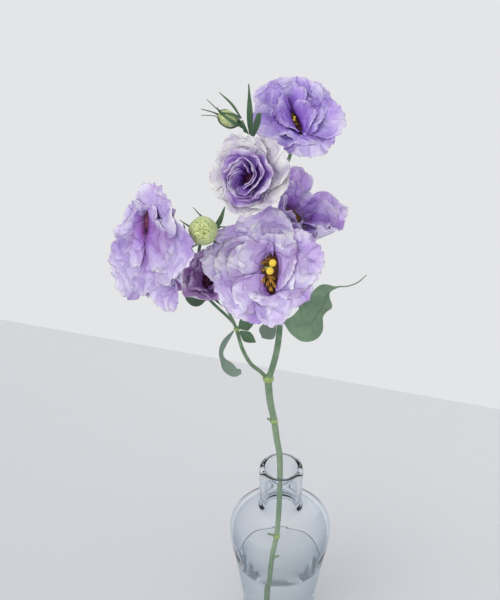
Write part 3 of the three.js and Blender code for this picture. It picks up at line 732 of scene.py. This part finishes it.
# %% Extrude the stem
bm = bmesh.new()
for route, foot, tip in LIMBS:
    rod(bm, route, lambda t: mix(foot, tip, t * t), sides=14, count=6 * len(route))
for flowers, stalks, measure, thick, ends, cup, widths, counts in CUPS:
    for name, flower in flowers.items():
        axis = [flower_frame(flower) @ Vector((0, 0, z)) for z in (*ends, *cup)]
        rod(bm, stalks[name] + axis[:2], lambda t: thick, count=counts[0])
        rod(bm, axis[2:], lambda t: flower[measure] * through(widths, t), count=counts[1])
for route in STUBS:
    rod(bm, route, lambda t: mix(1.1, 0.8, t), sides=10, count=6)
before = set(bm.faces)
for centre, radius in KNOTS:
    ball(bm, centre, (radius, radius, radius * 0.8))
skin_new_faces(bm, before, 1)
bmesh.ops.recalc_face_normals(bm, faces=bm.faces)
stem = finish_piece(bm, "forked_stem", ["stem"], [stem_skin, joint_skin])
print("stem faces:", len(stem.data.polygons))

# %% Spread the sepals
bm = bmesh.new()
for flower in BLOOMS.values():
    add_sepals(bm, flower, [(2, -5.4), (7, -4.0), (13, -1.4), (19, 3.0)], [0.9, 1.5, 1.3, 0.8, 0.3, 0.12])
add_sepals(bm, BUDS["left"], [(1.5, -2.2), (8.1, -0.6), (11.2, 8.6), (14.8, 17)],
           [0.7, 0.8, 0.6, 0.4, 0.25, 0.12])
add_sepals(bm, BUDS["top"], [(1.2, -2.2), (4.1, 1.5), (4.9, 5.5), (4.2, 9.5), (2.5, 12.6), (2.7, 15.2),
                             (4.8, 19), (7, 22)], [0.8, 1.1, 1.0, 0.9, 0.6, 0.32, 0.25, 0.15])
sepals = finish_piece(bm, "sepals", [], [dark_leaf], wall=0.35)
print("sepal faces:", len(sepals.data.polygons))

# %% [markdown]
# ## The leaves
#
# Lisianthus leaves are smooth, egg-shaped and pointed, with one clear middle rib and faint side
# veins. Each leaf here follows its own route from root to tip. Its half widths give the outline,
# and a little cupping lifts the edges. The broad leaf has a notch in its outer side, so that side
# has half widths of its own, and it ends in a thin tail that curls away to the right. Small upper
# leaves are narrow and stand folded along the rib.

# %% Values of the leaves
UP = (0, -0.8, 0.6)
LEAVES = {
    "broad": ([(-0.5, 3, 293.8), (7.5, 5, 290), (14.5, 8, 288.5), (21.5, 9, 294), (26.5, 9.5, 303.5),
               (30, 10, 312.5), (36, 11, 316.4), (42, 12, 316.4), (49, 13, 318.8), (54.7, 14, 324.1)],
              [0.8, 4.6, 8.8, 12.4, 15, 16, 15.5, 14, 12.5, 10.5, 7.3, 1.5, 0.5, 0.42, 0.4, 0.35, 0.25],
              (UP, UP), 0.12, pale_leaf),
    "upright": ([(-23, 0.4, 434.8), (-23, -3, 451), (-23.8, -8, 471)], [0.6, 1.6, 1.8, 1.4, 0.7, 0.25],
                ((-0.3, -1, 0.3), (-0.3, -1, 0.3)), 0.35, dark_leaf),
    "folded": ([(-23.9, 0.2, 431.4), (-22.4, -3, 434), (-20.2, -8.8, 443.6), (-17.8, -17, 457)],
               [0.6, 1.4, 2.0, 2.0, 1.3], ((0.5, -1, 0.2), (0.2, -1, 0.2)), 0.5, dark_leaf),
    "sliver": ([(-28.2, -0.8, 445.7), (-33.6, -0.6, 454.6), (-41, -0.6, 462.4)],
               [0.4, 0.65, 0.55, 0.2], (UP, UP), 0.2, dark_leaf),
    "behind": ([(-6, 6.8, 288.7), (-10.4, 9, 281.6), (-14.6, 12, 273.5)], [0.8, 4.6, 6, 4.6, 0.5],
               (UP, UP), 0.2, dull_leaf),
    "inner": ([(-30.5, -4.3, 294), (-25, -9, 301), (-19.7, -14, 307)], [0.8, 3.4, 4.6, 3.4, 0.5],
              (UP, UP), 0.3, dark_leaf),
    "low": ([(-29.9, -4.9, 291.4), (-25, -9, 290), (-19.4, -13, 288.4)], [0.8, 2.4, 3.6, 2.6, 0.5],
            (UP, UP), 0.3, dark_leaf),
    "twisted": ([(-34.2, -3.8, 291), (-40.5, -6, 282.5), (-42.6, -8, 274.7), (-39.8, -8, 266.2),
                 (-33.6, -10, 260.8), (-29.1, -12, 263)], [0.8, 2.0, 2.2, 1.5, 1.8, 3.8, 3.5, 1.6],
                ((0.9, -0.6, 0.3), (-0.3, -0.9, 0.6)), 0.2, dull_leaf),
    "bract": ([(-52.1, -5.7, 317.9), (-58, -11, 322), (-65.9, -15, 331)], [0.8, 3.6, 5, 3.6, 0.5],
              (UP, UP), 0.3, dark_leaf),
    "budside": ([(-47.6, -12.4, 374.6), (-42, -11, 380), (-38.5, -13, 392)],
                [0.6, 1.6, 1.8, 1.2, 0.3], ((-0.6, -0.6, 0.3), (-0.6, -0.6, 0.3)), 0.3, dark_leaf),
}
OTHER_SIDES = {
    "broad": [0.8, 4.6, 8.8, 11.9, 12.8, 10.2, 4.5, 4.3, 6, 2.7, 0.25, 0.3, 0.35, 0.4, 0.4, 0.35, 0.25],
}

# %% Bend the leaves
LEAF_COLUMNS = 20
for name, (route, widths, face, cup, skin) in LEAVES.items():
    bm = bmesh.new()
    rows = 96 if name == "broad" else 32
    surface = leaf_surface(route, widths, face, cup, rows, wave=0.07, other=OTHER_SIDES.get(name))
    blade(bm, surface, LEAF_COLUMNS, rows)
    finish_piece(bm, f"leaf_{name}_skin", [f"leaf_{name}"], [skin], wall=0.5)
print("leaves:", len(LEAVES))

# %% [markdown]
# ## Petal skins
#
# A lisianthus petal has no single colour. It is dark at the foot, lilac over its broad part and
# almost white along the rim, and fine veins fan out through it. The dark foot is partly the petal's
# own colour and partly painted shade of the deep throat. The distance along the petal, stored on its
# points, drives a ramp for that run of colour. A second number says how far in the petal's ring is,
# because inner petals are deeper: it mixes the ramp of the outer petals into that of the inner ones.
# Where the sheet waves, painted shade turns the hollows a clear violet and a painted highlight pales
# the crests towards the rim colour. Creases dent the sheet, and painted shade darkens them. The
# petal is thin, so some light passes into it: a little subsurface scattering softens its folds.
# Deep in the throat the petals meet a brown or wine-red floor, which has a mottled skin of its own;
# its darkness is partly the floor's own colour and partly painted shade of the deep hole.

# %% Petal skin
def petal_material(name, outer, inner, foot, inner_places):
    """outer and inner are colour runs from the deep part to the rim; foot is the dark base."""
    outer, inner = outer.split(), inner.split()
    material, tree, surface, where = new_material(
        name, subsurface_weight=0.25, subsurface_scale=0.003, subsurface_radius=(1.0, 0.6, 1.0),
        specular_ior_level=0.2)
    flat, across, along = blade_map(tree)
    reach, ring, own, fold = (add(tree, "Attribute", attribute_name=key).outputs["Fac"]
                              for key in ("reach", "ring", "own", "fold"))
    run = sums(tree, "MULTIPLY_ADD", cloudy(tree, where, 260.0, 3.0), 0.16,
               sums(tree, "SUBTRACT", reach, 0.08))
    runs = [ramp(tree, run, list(zip(places, [paint(c) for c in (foot, *colours)])))
            for places, colours in ((OPEN_RUN, outer), (inner_places, inner))]
    colour = blend(tree, ring, *runs)
    deep, mid, rim = (blend(tree, ring, paint(outer[i]), paint(inner[i])) for i in (0, 2, 4))
    veins = use(tree, fan_veins, across, along, 13.0, 0.12, own, 0.35)
    amount = sums(tree, "MULTIPLY", veins["Mask"], spread(tree, reach, 0.2, 1.0, 0.32, 0.12))
    colour = mottled(tree, where, blend(tree, amount, colour, deep), mid, 70.0, 0.5)
    shown = spread(tree, reach, 0.35, 0.6)
    # Painted shade: creases darken the colour towards the deep tone, and they also dent the sheet.
    crease_shade_and_dents = use(tree, creases, where, 80.0, 0.09)
    amount = sums(tree, "MULTIPLY", crease_shade_and_dents["Mask"], sums(tree, "MULTIPLY", shown, 0.3))
    colour = blend(tree, amount, colour, deep)
    # Painted shade turns the hollows of the waves deep violet, and a painted highlight pales their crests
    # towards the rim colour.
    for start, end, most, towards in ((0.1, -0.8, 0.5, deep), (0.2, 1.1, 0.4, rim)):
        amount = sums(tree, "MULTIPLY", spread(tree, fold, start, end, 0.0, most), shown)
        colour = blend(tree, amount, colour, towards)
    shade = spread(tree, own, 0.0, 1.0, 0.92, 1.05)
    grey = add(tree, "CombineColor", dict.fromkeys(("Red", "Green", "Blue"), shade)).outputs[0]
    colour = blend(tree, 1.0, colour, grey, how="MULTIPLY")
    long = add(tree, "Mapping", {"Vector": flat, "Scale": (26.0, 5.0, 1.0)})
    skin = use(tree, grain, where, 800.0, 0.52, 0.7)
    relief = skin["Height"]
    for bumps, height in ((cloudy(tree, long.outputs[0], 1.0, 3.0), 2.2), (veins["Height"], 0.5),
                          (crease_shade_and_dents["Height"], 1.6)):
        relief = sums(tree, "MULTIPLY_ADD", bumps, height, relief)
    coat(tree, surface, colour, skin, relief, 0.7, 0.0008)
    return material


OPEN_RUN = (0.0, 0.16, 0.30, 0.52, 0.84, 0.98)
DEEP_RUN = (0.32, 0.41, 0.50, 0.66, 0.90, 0.98)
ROLLED_RUN = (0.22, 0.38, 0.54, 0.74, 0.86, 0.95)
SPLIT_RUN = (0.22, 0.40, 0.52, 0.66, 0.9, 0.98)
# The dark foot colours are partly the petals' own colour and partly painted shade deep in the throat.
PETAL_COLOURS = {  # the outer run, the inner run, the foot and the places of the inner run
    "front": ("9062c6 b492eb cdb6f5 dfd0fb f5eefd", "9866bc bb9ae8 d2b9f4 e3d6fa f8f3fe",
              "38200f", DEEP_RUN),
    "left": ("8a62c2 ae92e0 c9b4ee dbcdf5 f1eafb", "8f4a9c a67ad8 bfa4ea d8caf4 f3edfb",
             "4a1c3a", DEEP_RUN),
    "top": ("8458c6 9f84de b8a2e8 c9b8f0 e6dcf8", "6e3ca2 926ace ae8ee8 c2abf2 dfd2f8",
            "3a2220", DEEP_RUN),
    "centre": ("a89ac2 cac3dc dedbe4 ebe8e6 f6f4ec", "7c4aac aa7ce0 c6a0f2 dcc4f9 f7effc",
               "260f30", ROLLED_RUN),
    "right": ("b0a0c8 c6b8dc d6cbe6 ded4ee dccdf2", "8452b0 b084e2 c8acf6 d9c6fa efe6fb",
              "5c3424", SPLIT_RUN),
    "rear": ("a06cb8 c092d2 d6b2e6 e4c8f0 f2e8f8", "90609e b282c2 caa0da dabae8 eedcf6",
             "4a2840", OPEN_RUN),
}
petal_skins = {name: petal_material(f"petal skin {name}", *colours)
               for name, colours in PETAL_COLOURS.items()}

# %% Throat skin
def throat_material(name, body, patch):
    """The mottled skin of a throat's floor."""
    material, tree, surface, where = new_material(name)
    skin = use(tree, grain, where, 1200.0, 0.5, 0.75)
    tint = mottled(tree, where, paint(body), paint(patch), 500.0, 1.0)
    coat(tree, surface, tint, skin, skin["Height"], 0.6, 0.0005)
    return material


# The dark throat floors are partly their own brown or wine colour and partly painted shade of the deep
# hole.
brown_throat = throat_material("brown throat skin", "3c2010", "7a5020")
wine_throat = throat_material("wine throat skin", "4a1a34", "7c3a62")
print("petal skins:", len(petal_skins))

# %% [markdown]
# ## The blooms
#
# A double bloom is a set of rings of petals, one inside another, like cups of different widths. In
# each ring a petal has one edge outside its neighbour and the other edge inside, which is how they
# were rolled up in the bud. The formula follows one petal: it starts at a small radius, stands up as
# a short neck, leans outwards along the rest of its length, widens, and waves more towards the
# rim. The waves depend on the direction from the bloom's own axis, so neighbouring petals wave much
# alike. They still cross in many places, deep in the bloom and also where two of them overlap further
# out, because nothing here pushes them apart. Short waves along the last few millimetres give the
# crimped, slightly torn rim.
#
# The mouth of such a throat is rarely round. It is drawn out into a slit, and it often stands to
# one side. Both are done to the finished petals: points near the axis are pulled apart along the
# slit, pressed together across it, and shifted, and this fades out a little way from the axis.

# %% Values of the petal rings
# Rings of petals: the place in the order, how many, length, half width, lean at foot and tip in
# degrees, the radius and height where the ring starts, the share that stands as a neck, and how
# quickly the petal bends over above that neck. OUTER is the last four of these for outer petals.
OUTER = (2.6, 0.4, 0, 1.5)
RINGS = {
    "front": [(0, 5, 43, 26, 38, 96, *OUTER), (1, 4, 37, 25, 14, 90, 2.8, 2, 0.22, 0.4),
              (2, 3, 30, 25, 8, 88, 3.8, 3.6, 0.28, 0.4), (3, 3, 24.5, 22, 4, 86, 4.6, 5.2, 0.34, 0.4)],
    "left": [(0, 5, 43, 26, 38, 96, *OUTER), (1, 4, 35.5, 28, 16, 98, 2.8, 2, 0.18, 0.45),
             (2, 3, 33, 28, 12, 100, 3.0, 3.6, 0.22, 0.42), (2.6, 2, 28, 27, 8, 100, 3.0, 5.2, 0.27, 0.4)],
    "top": [(0, 5, 43, 26, 36, 92, *OUTER), (1, 4, 37, 27, 18, 88, 2.8, 2, 0.15, 0.5),
            (2, 3, 31, 27, 12, 84, 3.0, 3.6, 0.22, 0.5), (2.6, 2, 27, 24, 4, 80, 3.0, 5.2, 0.3, 0.5)],
    "centre": [(0, 5, 37, 25, 30, 66, *OUTER), (1, 3, 33, 24, 26, 34, 2.4, 2, 0, 1.5),
               (1.5, 3, 31, 22, 24, 24, 2.4, 2.8, 0, 1.5), (2, 3, 29.5, 20, 21, 14, 2.4, 3.6, 0, 1.5),
               (2.5, 3, 28, 17, 19, 8, 2.8, 4.4, 0, 1.5), (3, 2, 25.5, 14, 18, 3, 3.2, 5.2, 0, 1.5)],
    "rear": [(0, 5, 30, 17, 30, 42, *OUTER), (1, 3, 25, 14, 24, 28, 2.4, 2, 0, 1.5)],
}
# One bloom is drawn petal by petal: order, where it points in degrees, then as above.
SINGLE_PETALS = {
    "right": [(1, 101, 43, 14, 36, 80, *OUTER), (1, 8, 40, 27, 36, 86, *OUTER),
              (1, 62, 24, 13, 34, 56, *OUTER), (0, 296, 42, 27, 98, -14, 2.6, 0.4, 0, 1.0),
              (0, 232, 19, 16, 40, 40, *OUTER), (0, 203, 28, 15, 46, 40, *OUTER),
              (1, 168, 38, 18, 34, 44, *OUTER), (1, 130, 31, 15, 28, 44, 2.4, 2, 0, 1.5),
              (1, 350, 34, 20, 34, 74, 2.4, 2, 0, 1.5), (1, 298, 34, 28, 62, 20, 2.4, 2, 0, 1.2)],
}
SPANS = 24  # steps along the line down the middle of a petal
PETAL_GRID = (60, 28)
# How far the outer petals of a bloom reach, in mm, every 30 degrees round it.
REACHES = {
    "front": (38, 36, 37, 40, 38, 38, 42, 34, 36, 43, 31, 38),
    "left": (41, 38, 40, 30, 27, 37, 35, 40, 25, 40, 30, 39),
    "top": (36, 33, 30, 33, 30, 33, 36, 35, 31, 38, 43, 46),
    "centre": (29, 29, 29, 29, 29, 28, 27, 26, 24, 24, 22, 26),
}


def random_stream(seed):
    """Seeded numbers from 0 to 1, the same ones in every run."""
    state, whole = seed, 0xFFFFFFFF

    def draw():
        nonlocal state
        state = (state + 0x6D2B79F5) & whole
        t = ((state ^ (state >> 15)) * (state | 1)) & whole
        t ^= (t + (((t ^ (t >> 7)) * (t | 61)) & whole)) & whole
        return (t ^ (t >> 14)) / 4294967296

    return draw


# %% The petals of a bloom, with their own small differences
def petals_of(name, bloom):
    """The petals of one bloom, each a little different from its neighbours."""
    draw = random_stream(bloom["seed"])
    phase = draw() * math.tau
    towards, by = math.radians(bloom["pressed"][0]), bloom["pressed"][1]
    single = [(order, math.radians(at), *rest) for order, at, *rest in SINGLE_PETALS.get(name, [])]
    if not single:
        for order, count, *rest in RINGS[name]:
            start = math.radians(bloom["spin"]) + order * 0.35
            single += [(order, start + (i + order * 0.5) / count * math.tau, *rest) for i in range(count)]
    petals = []
    for order, azimuth, length, width, foot, tip, radius, rise, *bend in single:
        azimuth += (draw() * 2 - 1) * 0.06
        upright = 1 - by * max(0.0, math.cos(azimuth - towards)) ** 1.5
        long = length * (1 + (draw() * 2 - 1) * 0.05)
        lean = (tip + (draw() * 2 - 1) * 3) * upright
        petals.append(dict(order=order, azimuth=azimuth, width=width, foot=foot * upright, tip=lean,
                           line=petal_line(radius, rise, long, foot * upright, lean, bend),
                           bend=bend, phase=phase, edge=REACHES.get(name) if order == 0 else None))
    return petals


def leaning(s, foot, tip, bend):
    """How far the petal leans from the axis of its flower at the distance s, in radians."""
    neck, power = bend
    return math.radians(mix(foot, tip, max(0.0, (s - neck) / (1 - neck)) ** power))


def petal_line(radius, rise, length, foot, tip, bend):
    """The line down the middle of a petal: its distance from the axis and its height."""
    line = [(radius, rise)]
    for i in range(SPANS + 3):
        angle = leaning((i + 0.5) / SPANS, foot, tip, bend)
        line.append((line[i][0] + math.sin(angle) * length / SPANS,
                     line[i][1] + math.cos(angle) * length / SPANS))
    return line


# %% The surface of one petal
def petal_surface(petal, bloom, own):
    """The formula of one petal, which also tells how high each point stands on its waves."""
    order, phase, line = petal["order"], petal["phase"], petal["line"]
    slit, long, turn = bloom["slit"]
    aim = heading(turn)
    across = Vector((aim.y, -aim.x, 0))
    throat = Vector((*bloom["throat"], 0))
    waves = (6, 11) if order < 1.2 else (4, 9)

    def surface(u, v):
        torn = noise.noise((6 * u, 50 * own, 0)) + 0.5 * noise.noise((17 * u, 50 * own, 3))
        torn += 0.3 * noise.noise((44 * u, 50 * own, 6))
        s = v * (1 - 0.2 * abs(u) ** 2.6) * (1 + 0.06 * v**6 * torn)
        i = min(len(line) - 2, int(s * SPANS))
        radius, height = (mix(line[i][k], line[i + 1][k], s * SPANS - i) for k in (0, 1))
        lean = leaning(s, petal["foot"], petal["tip"], petal["bend"])
        half = petal["width"] * (0.05 + 0.95 * math.sin(math.pi / 2 * min(1, s / 0.8)))
        wrap = bloom["wrap"]
        angle = petal["azimuth"] + u * wrap * math.tanh(half / radius / wrap)
        wave = math.sin(waves[0] * angle + phase) + 0.5 * math.sin(waves[1] * angle + 2 * phase)
        around = Vector((radius * math.cos(angle), radius * math.sin(angle), height))
        broad = noise.noise(around / 9 + Vector((phase, 0, 0)))
        small = noise.noise(around / 3.6 + Vector((0, phase, own)))
        fine = noise.noise(around / 1.7 + Vector((0, own, phase)))
        rise = bloom["ruffle"] * (s**2.5 * wave + 0.9 * s**1.2 * broad + 0.7 * s**3 * small
                                  + 0.25 * s**4 * fine)
        offset = rise - bloom["lap"] * u + 1.5 * max(0.0, -u) ** 2 * s**1.5
        r = radius - math.cos(lean) * offset
        near, nearer = math.exp(-((r / 15) ** 2)), math.exp(-((r / 9) ** 2))
        flat = Vector((r * math.cos(angle), r * math.sin(angle), 0))
        flat += aim * flat.dot(aim) * long * nearer - across * flat.dot(across) * slit * near
        if petal["edge"]:
            count = len(petal["edge"])
            turn_by = (angle / math.tau * count) % count
            here, then = (petal["edge"][int(turn_by + k) % count] for k in (0, 1))
            flat *= mix(1, mix(here, then, turn_by % 1) / line[SPANS][0], s**1.5)
        flat += throat * near
        flat.z = height + math.sin(lean) * offset
        return flat, rise / bloom["ruffle"]

    return surface


# %% Fold the blooms
# The half width and the height of the dark throat plug. Its darkness is partly its own colour and partly
# painted shade of the deep hole.
PLUGS = {"front": (5.4, 12.5), "left": (2.4, 14), "top": (3.2, 9), "centre": (4.6, 11),
         "right": (4.9, 7.6), "rear": (4.9, 7.6)}
WINE_THROATS = ("left", "rear", "centre")
for name, bloom in BLOOMS.items():
    bm = bmesh.new()
    petals = petals_of(name, bloom)
    own = random_stream(bloom["seed"] + 500)
    for petal in petals:
        chance = own()
        ring = max(0.0, min(1.0, (petal["order"] - 0.2) / 0.8))
        blade(bm, petal_surface(petal, bloom, chance), *PETAL_GRID, ring=ring, own=chance)
    before, old = set(bm.faces), set(bm.verts)
    plug, top = PLUGS[name]
    rod(bm, [(0, 0, -1), (0, 0, 3), (0, 0, top)], lambda t: mix(2.0, plug, t), sides=24, count=6)
    skin_new_faces(bm, before, 1)
    aim = heading(bloom["slit"][2])
    for vert in set(bm.verts) - old:
        vert.co += aim * vert.co.dot(aim) * bloom["slit"][1] * 0.75
        vert.co += Vector((*bloom["throat"], 0)) * max(0.0, vert.co.z / top)
    bmesh.ops.transform(bm, matrix=flower_frame(bloom), verts=bm.verts)
    throat_skin = wine_throat if name in WINE_THROATS else brown_throat
    piece = finish_piece(bm, f"bloom_{name}_petals", [f"bloom_{name}"],
                         [petal_skins[name], throat_skin], wall=0.35)
    print(name, "petals:", len(petals), "faces:", len(piece.data.polygons))

# %% [markdown]
# ## The seed vessels and stamens
#
# In the throat of an open bloom stands a green seed vessel with a two-lobed yellow tip, and around it
# lean short stamens with golden brown pollen sacs. The vessel is a spun profile. The two lobes are
# flattened eggs side by side, and each stamen is a thin bent rod with two slim eggs on its end.
# Their skins differ mostly in grain: the yellow lobes are covered by tiny bumps. In a bloom that is
# still half closed the vessel is shorter, so that it stays hidden in the throat.

# %% Skins of the throat parts
def grainy(name, body, patch, scale, depth):
    """A bumpy skin with patches twice as wide as its bumps."""
    material, tree, surface, where = new_material(name, subsurface_weight=0.1, subsurface_scale=0.001)
    skin = use(tree, grain, where, scale, 0.6, 0.85)
    tint = mottled(tree, where, paint(body), paint(patch), scale / 2, 0.8)
    coat(tree, surface, tint, skin, skin["Height"], 0.7, depth)
    return material


lobe_skin = grainy("stigma skin", "ecc42e", "ffe45a", 2200.0, 0.0004)
sac_skin = grainy("pollen sac skin", "74490f", "d2a038", 900.0, 0.0005)
vessel_skin = grainy("vessel skin", "8f9a4c", "b3b364", 1200.0, 0.0002)

# %% Build the vessels and stamens
LOBES = {  # where the two lobes stand in the bloom's own frame, and their radius
    "front": (((5.7, 2.2, 20.5), (3.6, -2.6, 20.9)), 2.35),
    "centre": (((-3.6, 1.9, 8), (-4.0, 0.4, 8)), 0.9),
    "left": (((0.2, 0.8, 10), (-0.2, -0.8, 10)), 0.9),
    "right": (((0.2, 1.0, 7), (-0.2, -1.0, 7)), 0.9),
    "rear": (((0.2, 0.8, 6.4), (-0.2, -0.8, 6.4)), 0.9),
    "top": (((0.2, 1.1, 12), (-0.2, -1.1, 12)), 1.1),
}
STAMENS = {
    "front": [(3.0, -8.2, 17), (5.0, -11.2, 17.5), (1.8, 4.6, 17), (1.9, -5.4, 16), (4.4, -6.6, 16.5),
              (-0.8, 3.4, 16), (-1.4, -1.0, 15), (-1.8, -7.2, 15), (0.8, -10.0, 16), (2.6, -13.2, 16.5)],
    "left": [(0.8, -3.0, 9.5), (-1.4, 2.6, 9.5), (-0.9, -2.0, 9)],
    "right": [(0.8, -3.4, 6.5), (-1.4, 3.2, 6.5), (-0.9, -2.4, 6)],
    "top": [(0.8, -4.0, 10.5), (-1.4, 3.6, 10.5), (-0.9, -2.6, 10)],
}
for name, bloom in BLOOMS.items():
    places, wide = LOBES[name]
    top = min(15.6, places[0][2])
    bm = spun([(0, 0.45 * top), (1.7, 0.67 * top), (1.6, 0.83 * top), (0.8, 0.96 * top), (0, top)], 20)
    middle = (Vector(places[0]) + Vector(places[1])) / 2
    rod(bm, [(0, 0, middle.z - 6), (places[0][0] * 0.5, 0, middle.z - 3), middle],
        lambda t: 0.75, sides=10, count=8)
    before = set(bm.faces)
    for centre in places:
        ball(bm, centre, (wide, wide, wide * 0.62), segments=20)
    skin_new_faces(bm, before, 1)
    before = set(bm.faces)
    for x, y, z in STAMENS.get(name, ()):
        rod(bm, [(0.3 * x, 0.3 * y, 0.53 * z), (0.8 * x, 0.75 * y, 0.77 * z), (x, y, z)], lambda t: 0.32,
            sides=8, count=8)
        for side in (-0.45, 0.45):
            way = (x * 0.3 + side, y * 0.25 - side, 1)
            ball(bm, (x + side, y, z), (0.62, 0.62, 2.0), way=way, segments=12)
    skin_new_faces(bm, before, 2)
    bmesh.ops.recalc_face_normals(bm, faces=bm.faces)
    bmesh.ops.transform(bm, matrix=flower_frame(bloom), verts=bm.verts)
    finish_piece(bm, f"throat_parts_{name}", [f"pistil_{name}"],
                 [vessel_skin, lobe_skin, sac_skin])
print("throat parts for", len(BLOOMS), "blooms")

# %% [markdown]
# ## The buds
#
# A closed bud is five petals rolled round each other into an egg, still yellow-green. Five blades are
# wound round the middle here, each with one edge over its neighbour, so the seams run up to the tip
# in a spiral and end there in a small crumpled knot. The knot's fine squiggles are creases again,
# used at a much smaller scale, and painted shade darkens them.

# %% Bud skin
bud_skin, tree, surface, where = new_material("bud skin", subsurface_weight=0.2, subsurface_scale=0.002)
_, across, along = blade_map(tree)
reach = add(tree, "Attribute", attribute_name="reach").outputs["Fac"]
run = ramp(tree, reach, [(0.0, paint("7f9c5c")), (0.45, paint("a2b676")), (0.8, paint("b6c483")),
                         (0.95, paint("cdd394"))])
colour = mottled(tree, where, run, paint("d3d99c"), 420.0, 0.75)
veins = use(tree, fan_veins, across, along, 9.0, 0.15, 4.0, 0.3)
colour = blend(tree, sums(tree, "MULTIPLY", veins["Mask"], 0.3), colour, paint("7d9a58"))
knot = spread(tree, reach, 0.80, 0.88, 0.0, 0.9)
knot_crease_shade = use(tree, creases, where, 360.0, 0.06)
# Painted shade: the creases of the knot are darkened to a deep green.
for amount, towards in ((0.6, "e2e79c"), (knot_crease_shade["Mask"], "5c7b38")):
    colour = blend(tree, sums(tree, "MULTIPLY", knot, amount), colour, paint(towards))
skin = use(tree, grain, where, 900.0, 0.42, 0.6)
coat(tree, surface, colour, skin, skin["Height"], 0.5, 0.0005)


# %% Wind the buds
BUD_GRID = (22, 30)


def bud_surface(bud, turn):
    """The formula of one of the five petals that are wound into a bud."""
    def surface(u, v):
        round_part = math.sqrt(max(0.0, 1 - (2 * v - 1) ** 2))
        angle = turn + 0.95 * u + 1.5 * v
        over = 0.045 * u * round_part + 0.05 * v**6 * math.sin(9 * angle)
        r = bud["radius"] * (0.97 * round_part + over)
        z = bud["length"] * v * (1 - 0.02 * u) - 0.8 * v**10 * math.cos(7 * angle)
        return Vector((r * math.cos(angle), r * math.sin(angle), z)), 0.0

    return surface


for name, bud in BUDS.items():
    bm = bmesh.new()
    for i in range(5):
        blade(bm, bud_surface(bud, i / 5 * math.tau), *BUD_GRID, own=i / 5)
    bmesh.ops.transform(bm, matrix=flower_frame(bud), verts=bm.verts)
    piece = finish_piece(bm, f"bud_{name}_petals", [f"bud_{name}"], [bud_skin], wall=0.4)
    print(name, "bud faces:", len(piece.data.polygons))

# %% [markdown]
# ## Measure the size
#
# The dressed model is meant to stay about as large as the solids. Both boxes are measured, and
# the pieces' box is printed with how far it grows past the solids'.

# %% Measure and finish
shown_box = [list(corner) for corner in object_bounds()]
print("box of the pieces:", [[round(x, 4) for x in corner] for corner in shown_box])
growth = [[round((a - b) * 1000, 1) for a, b in zip(*pair)] for pair in zip(shown_box, cad_box)]
print("grown by, in mm:", growth)
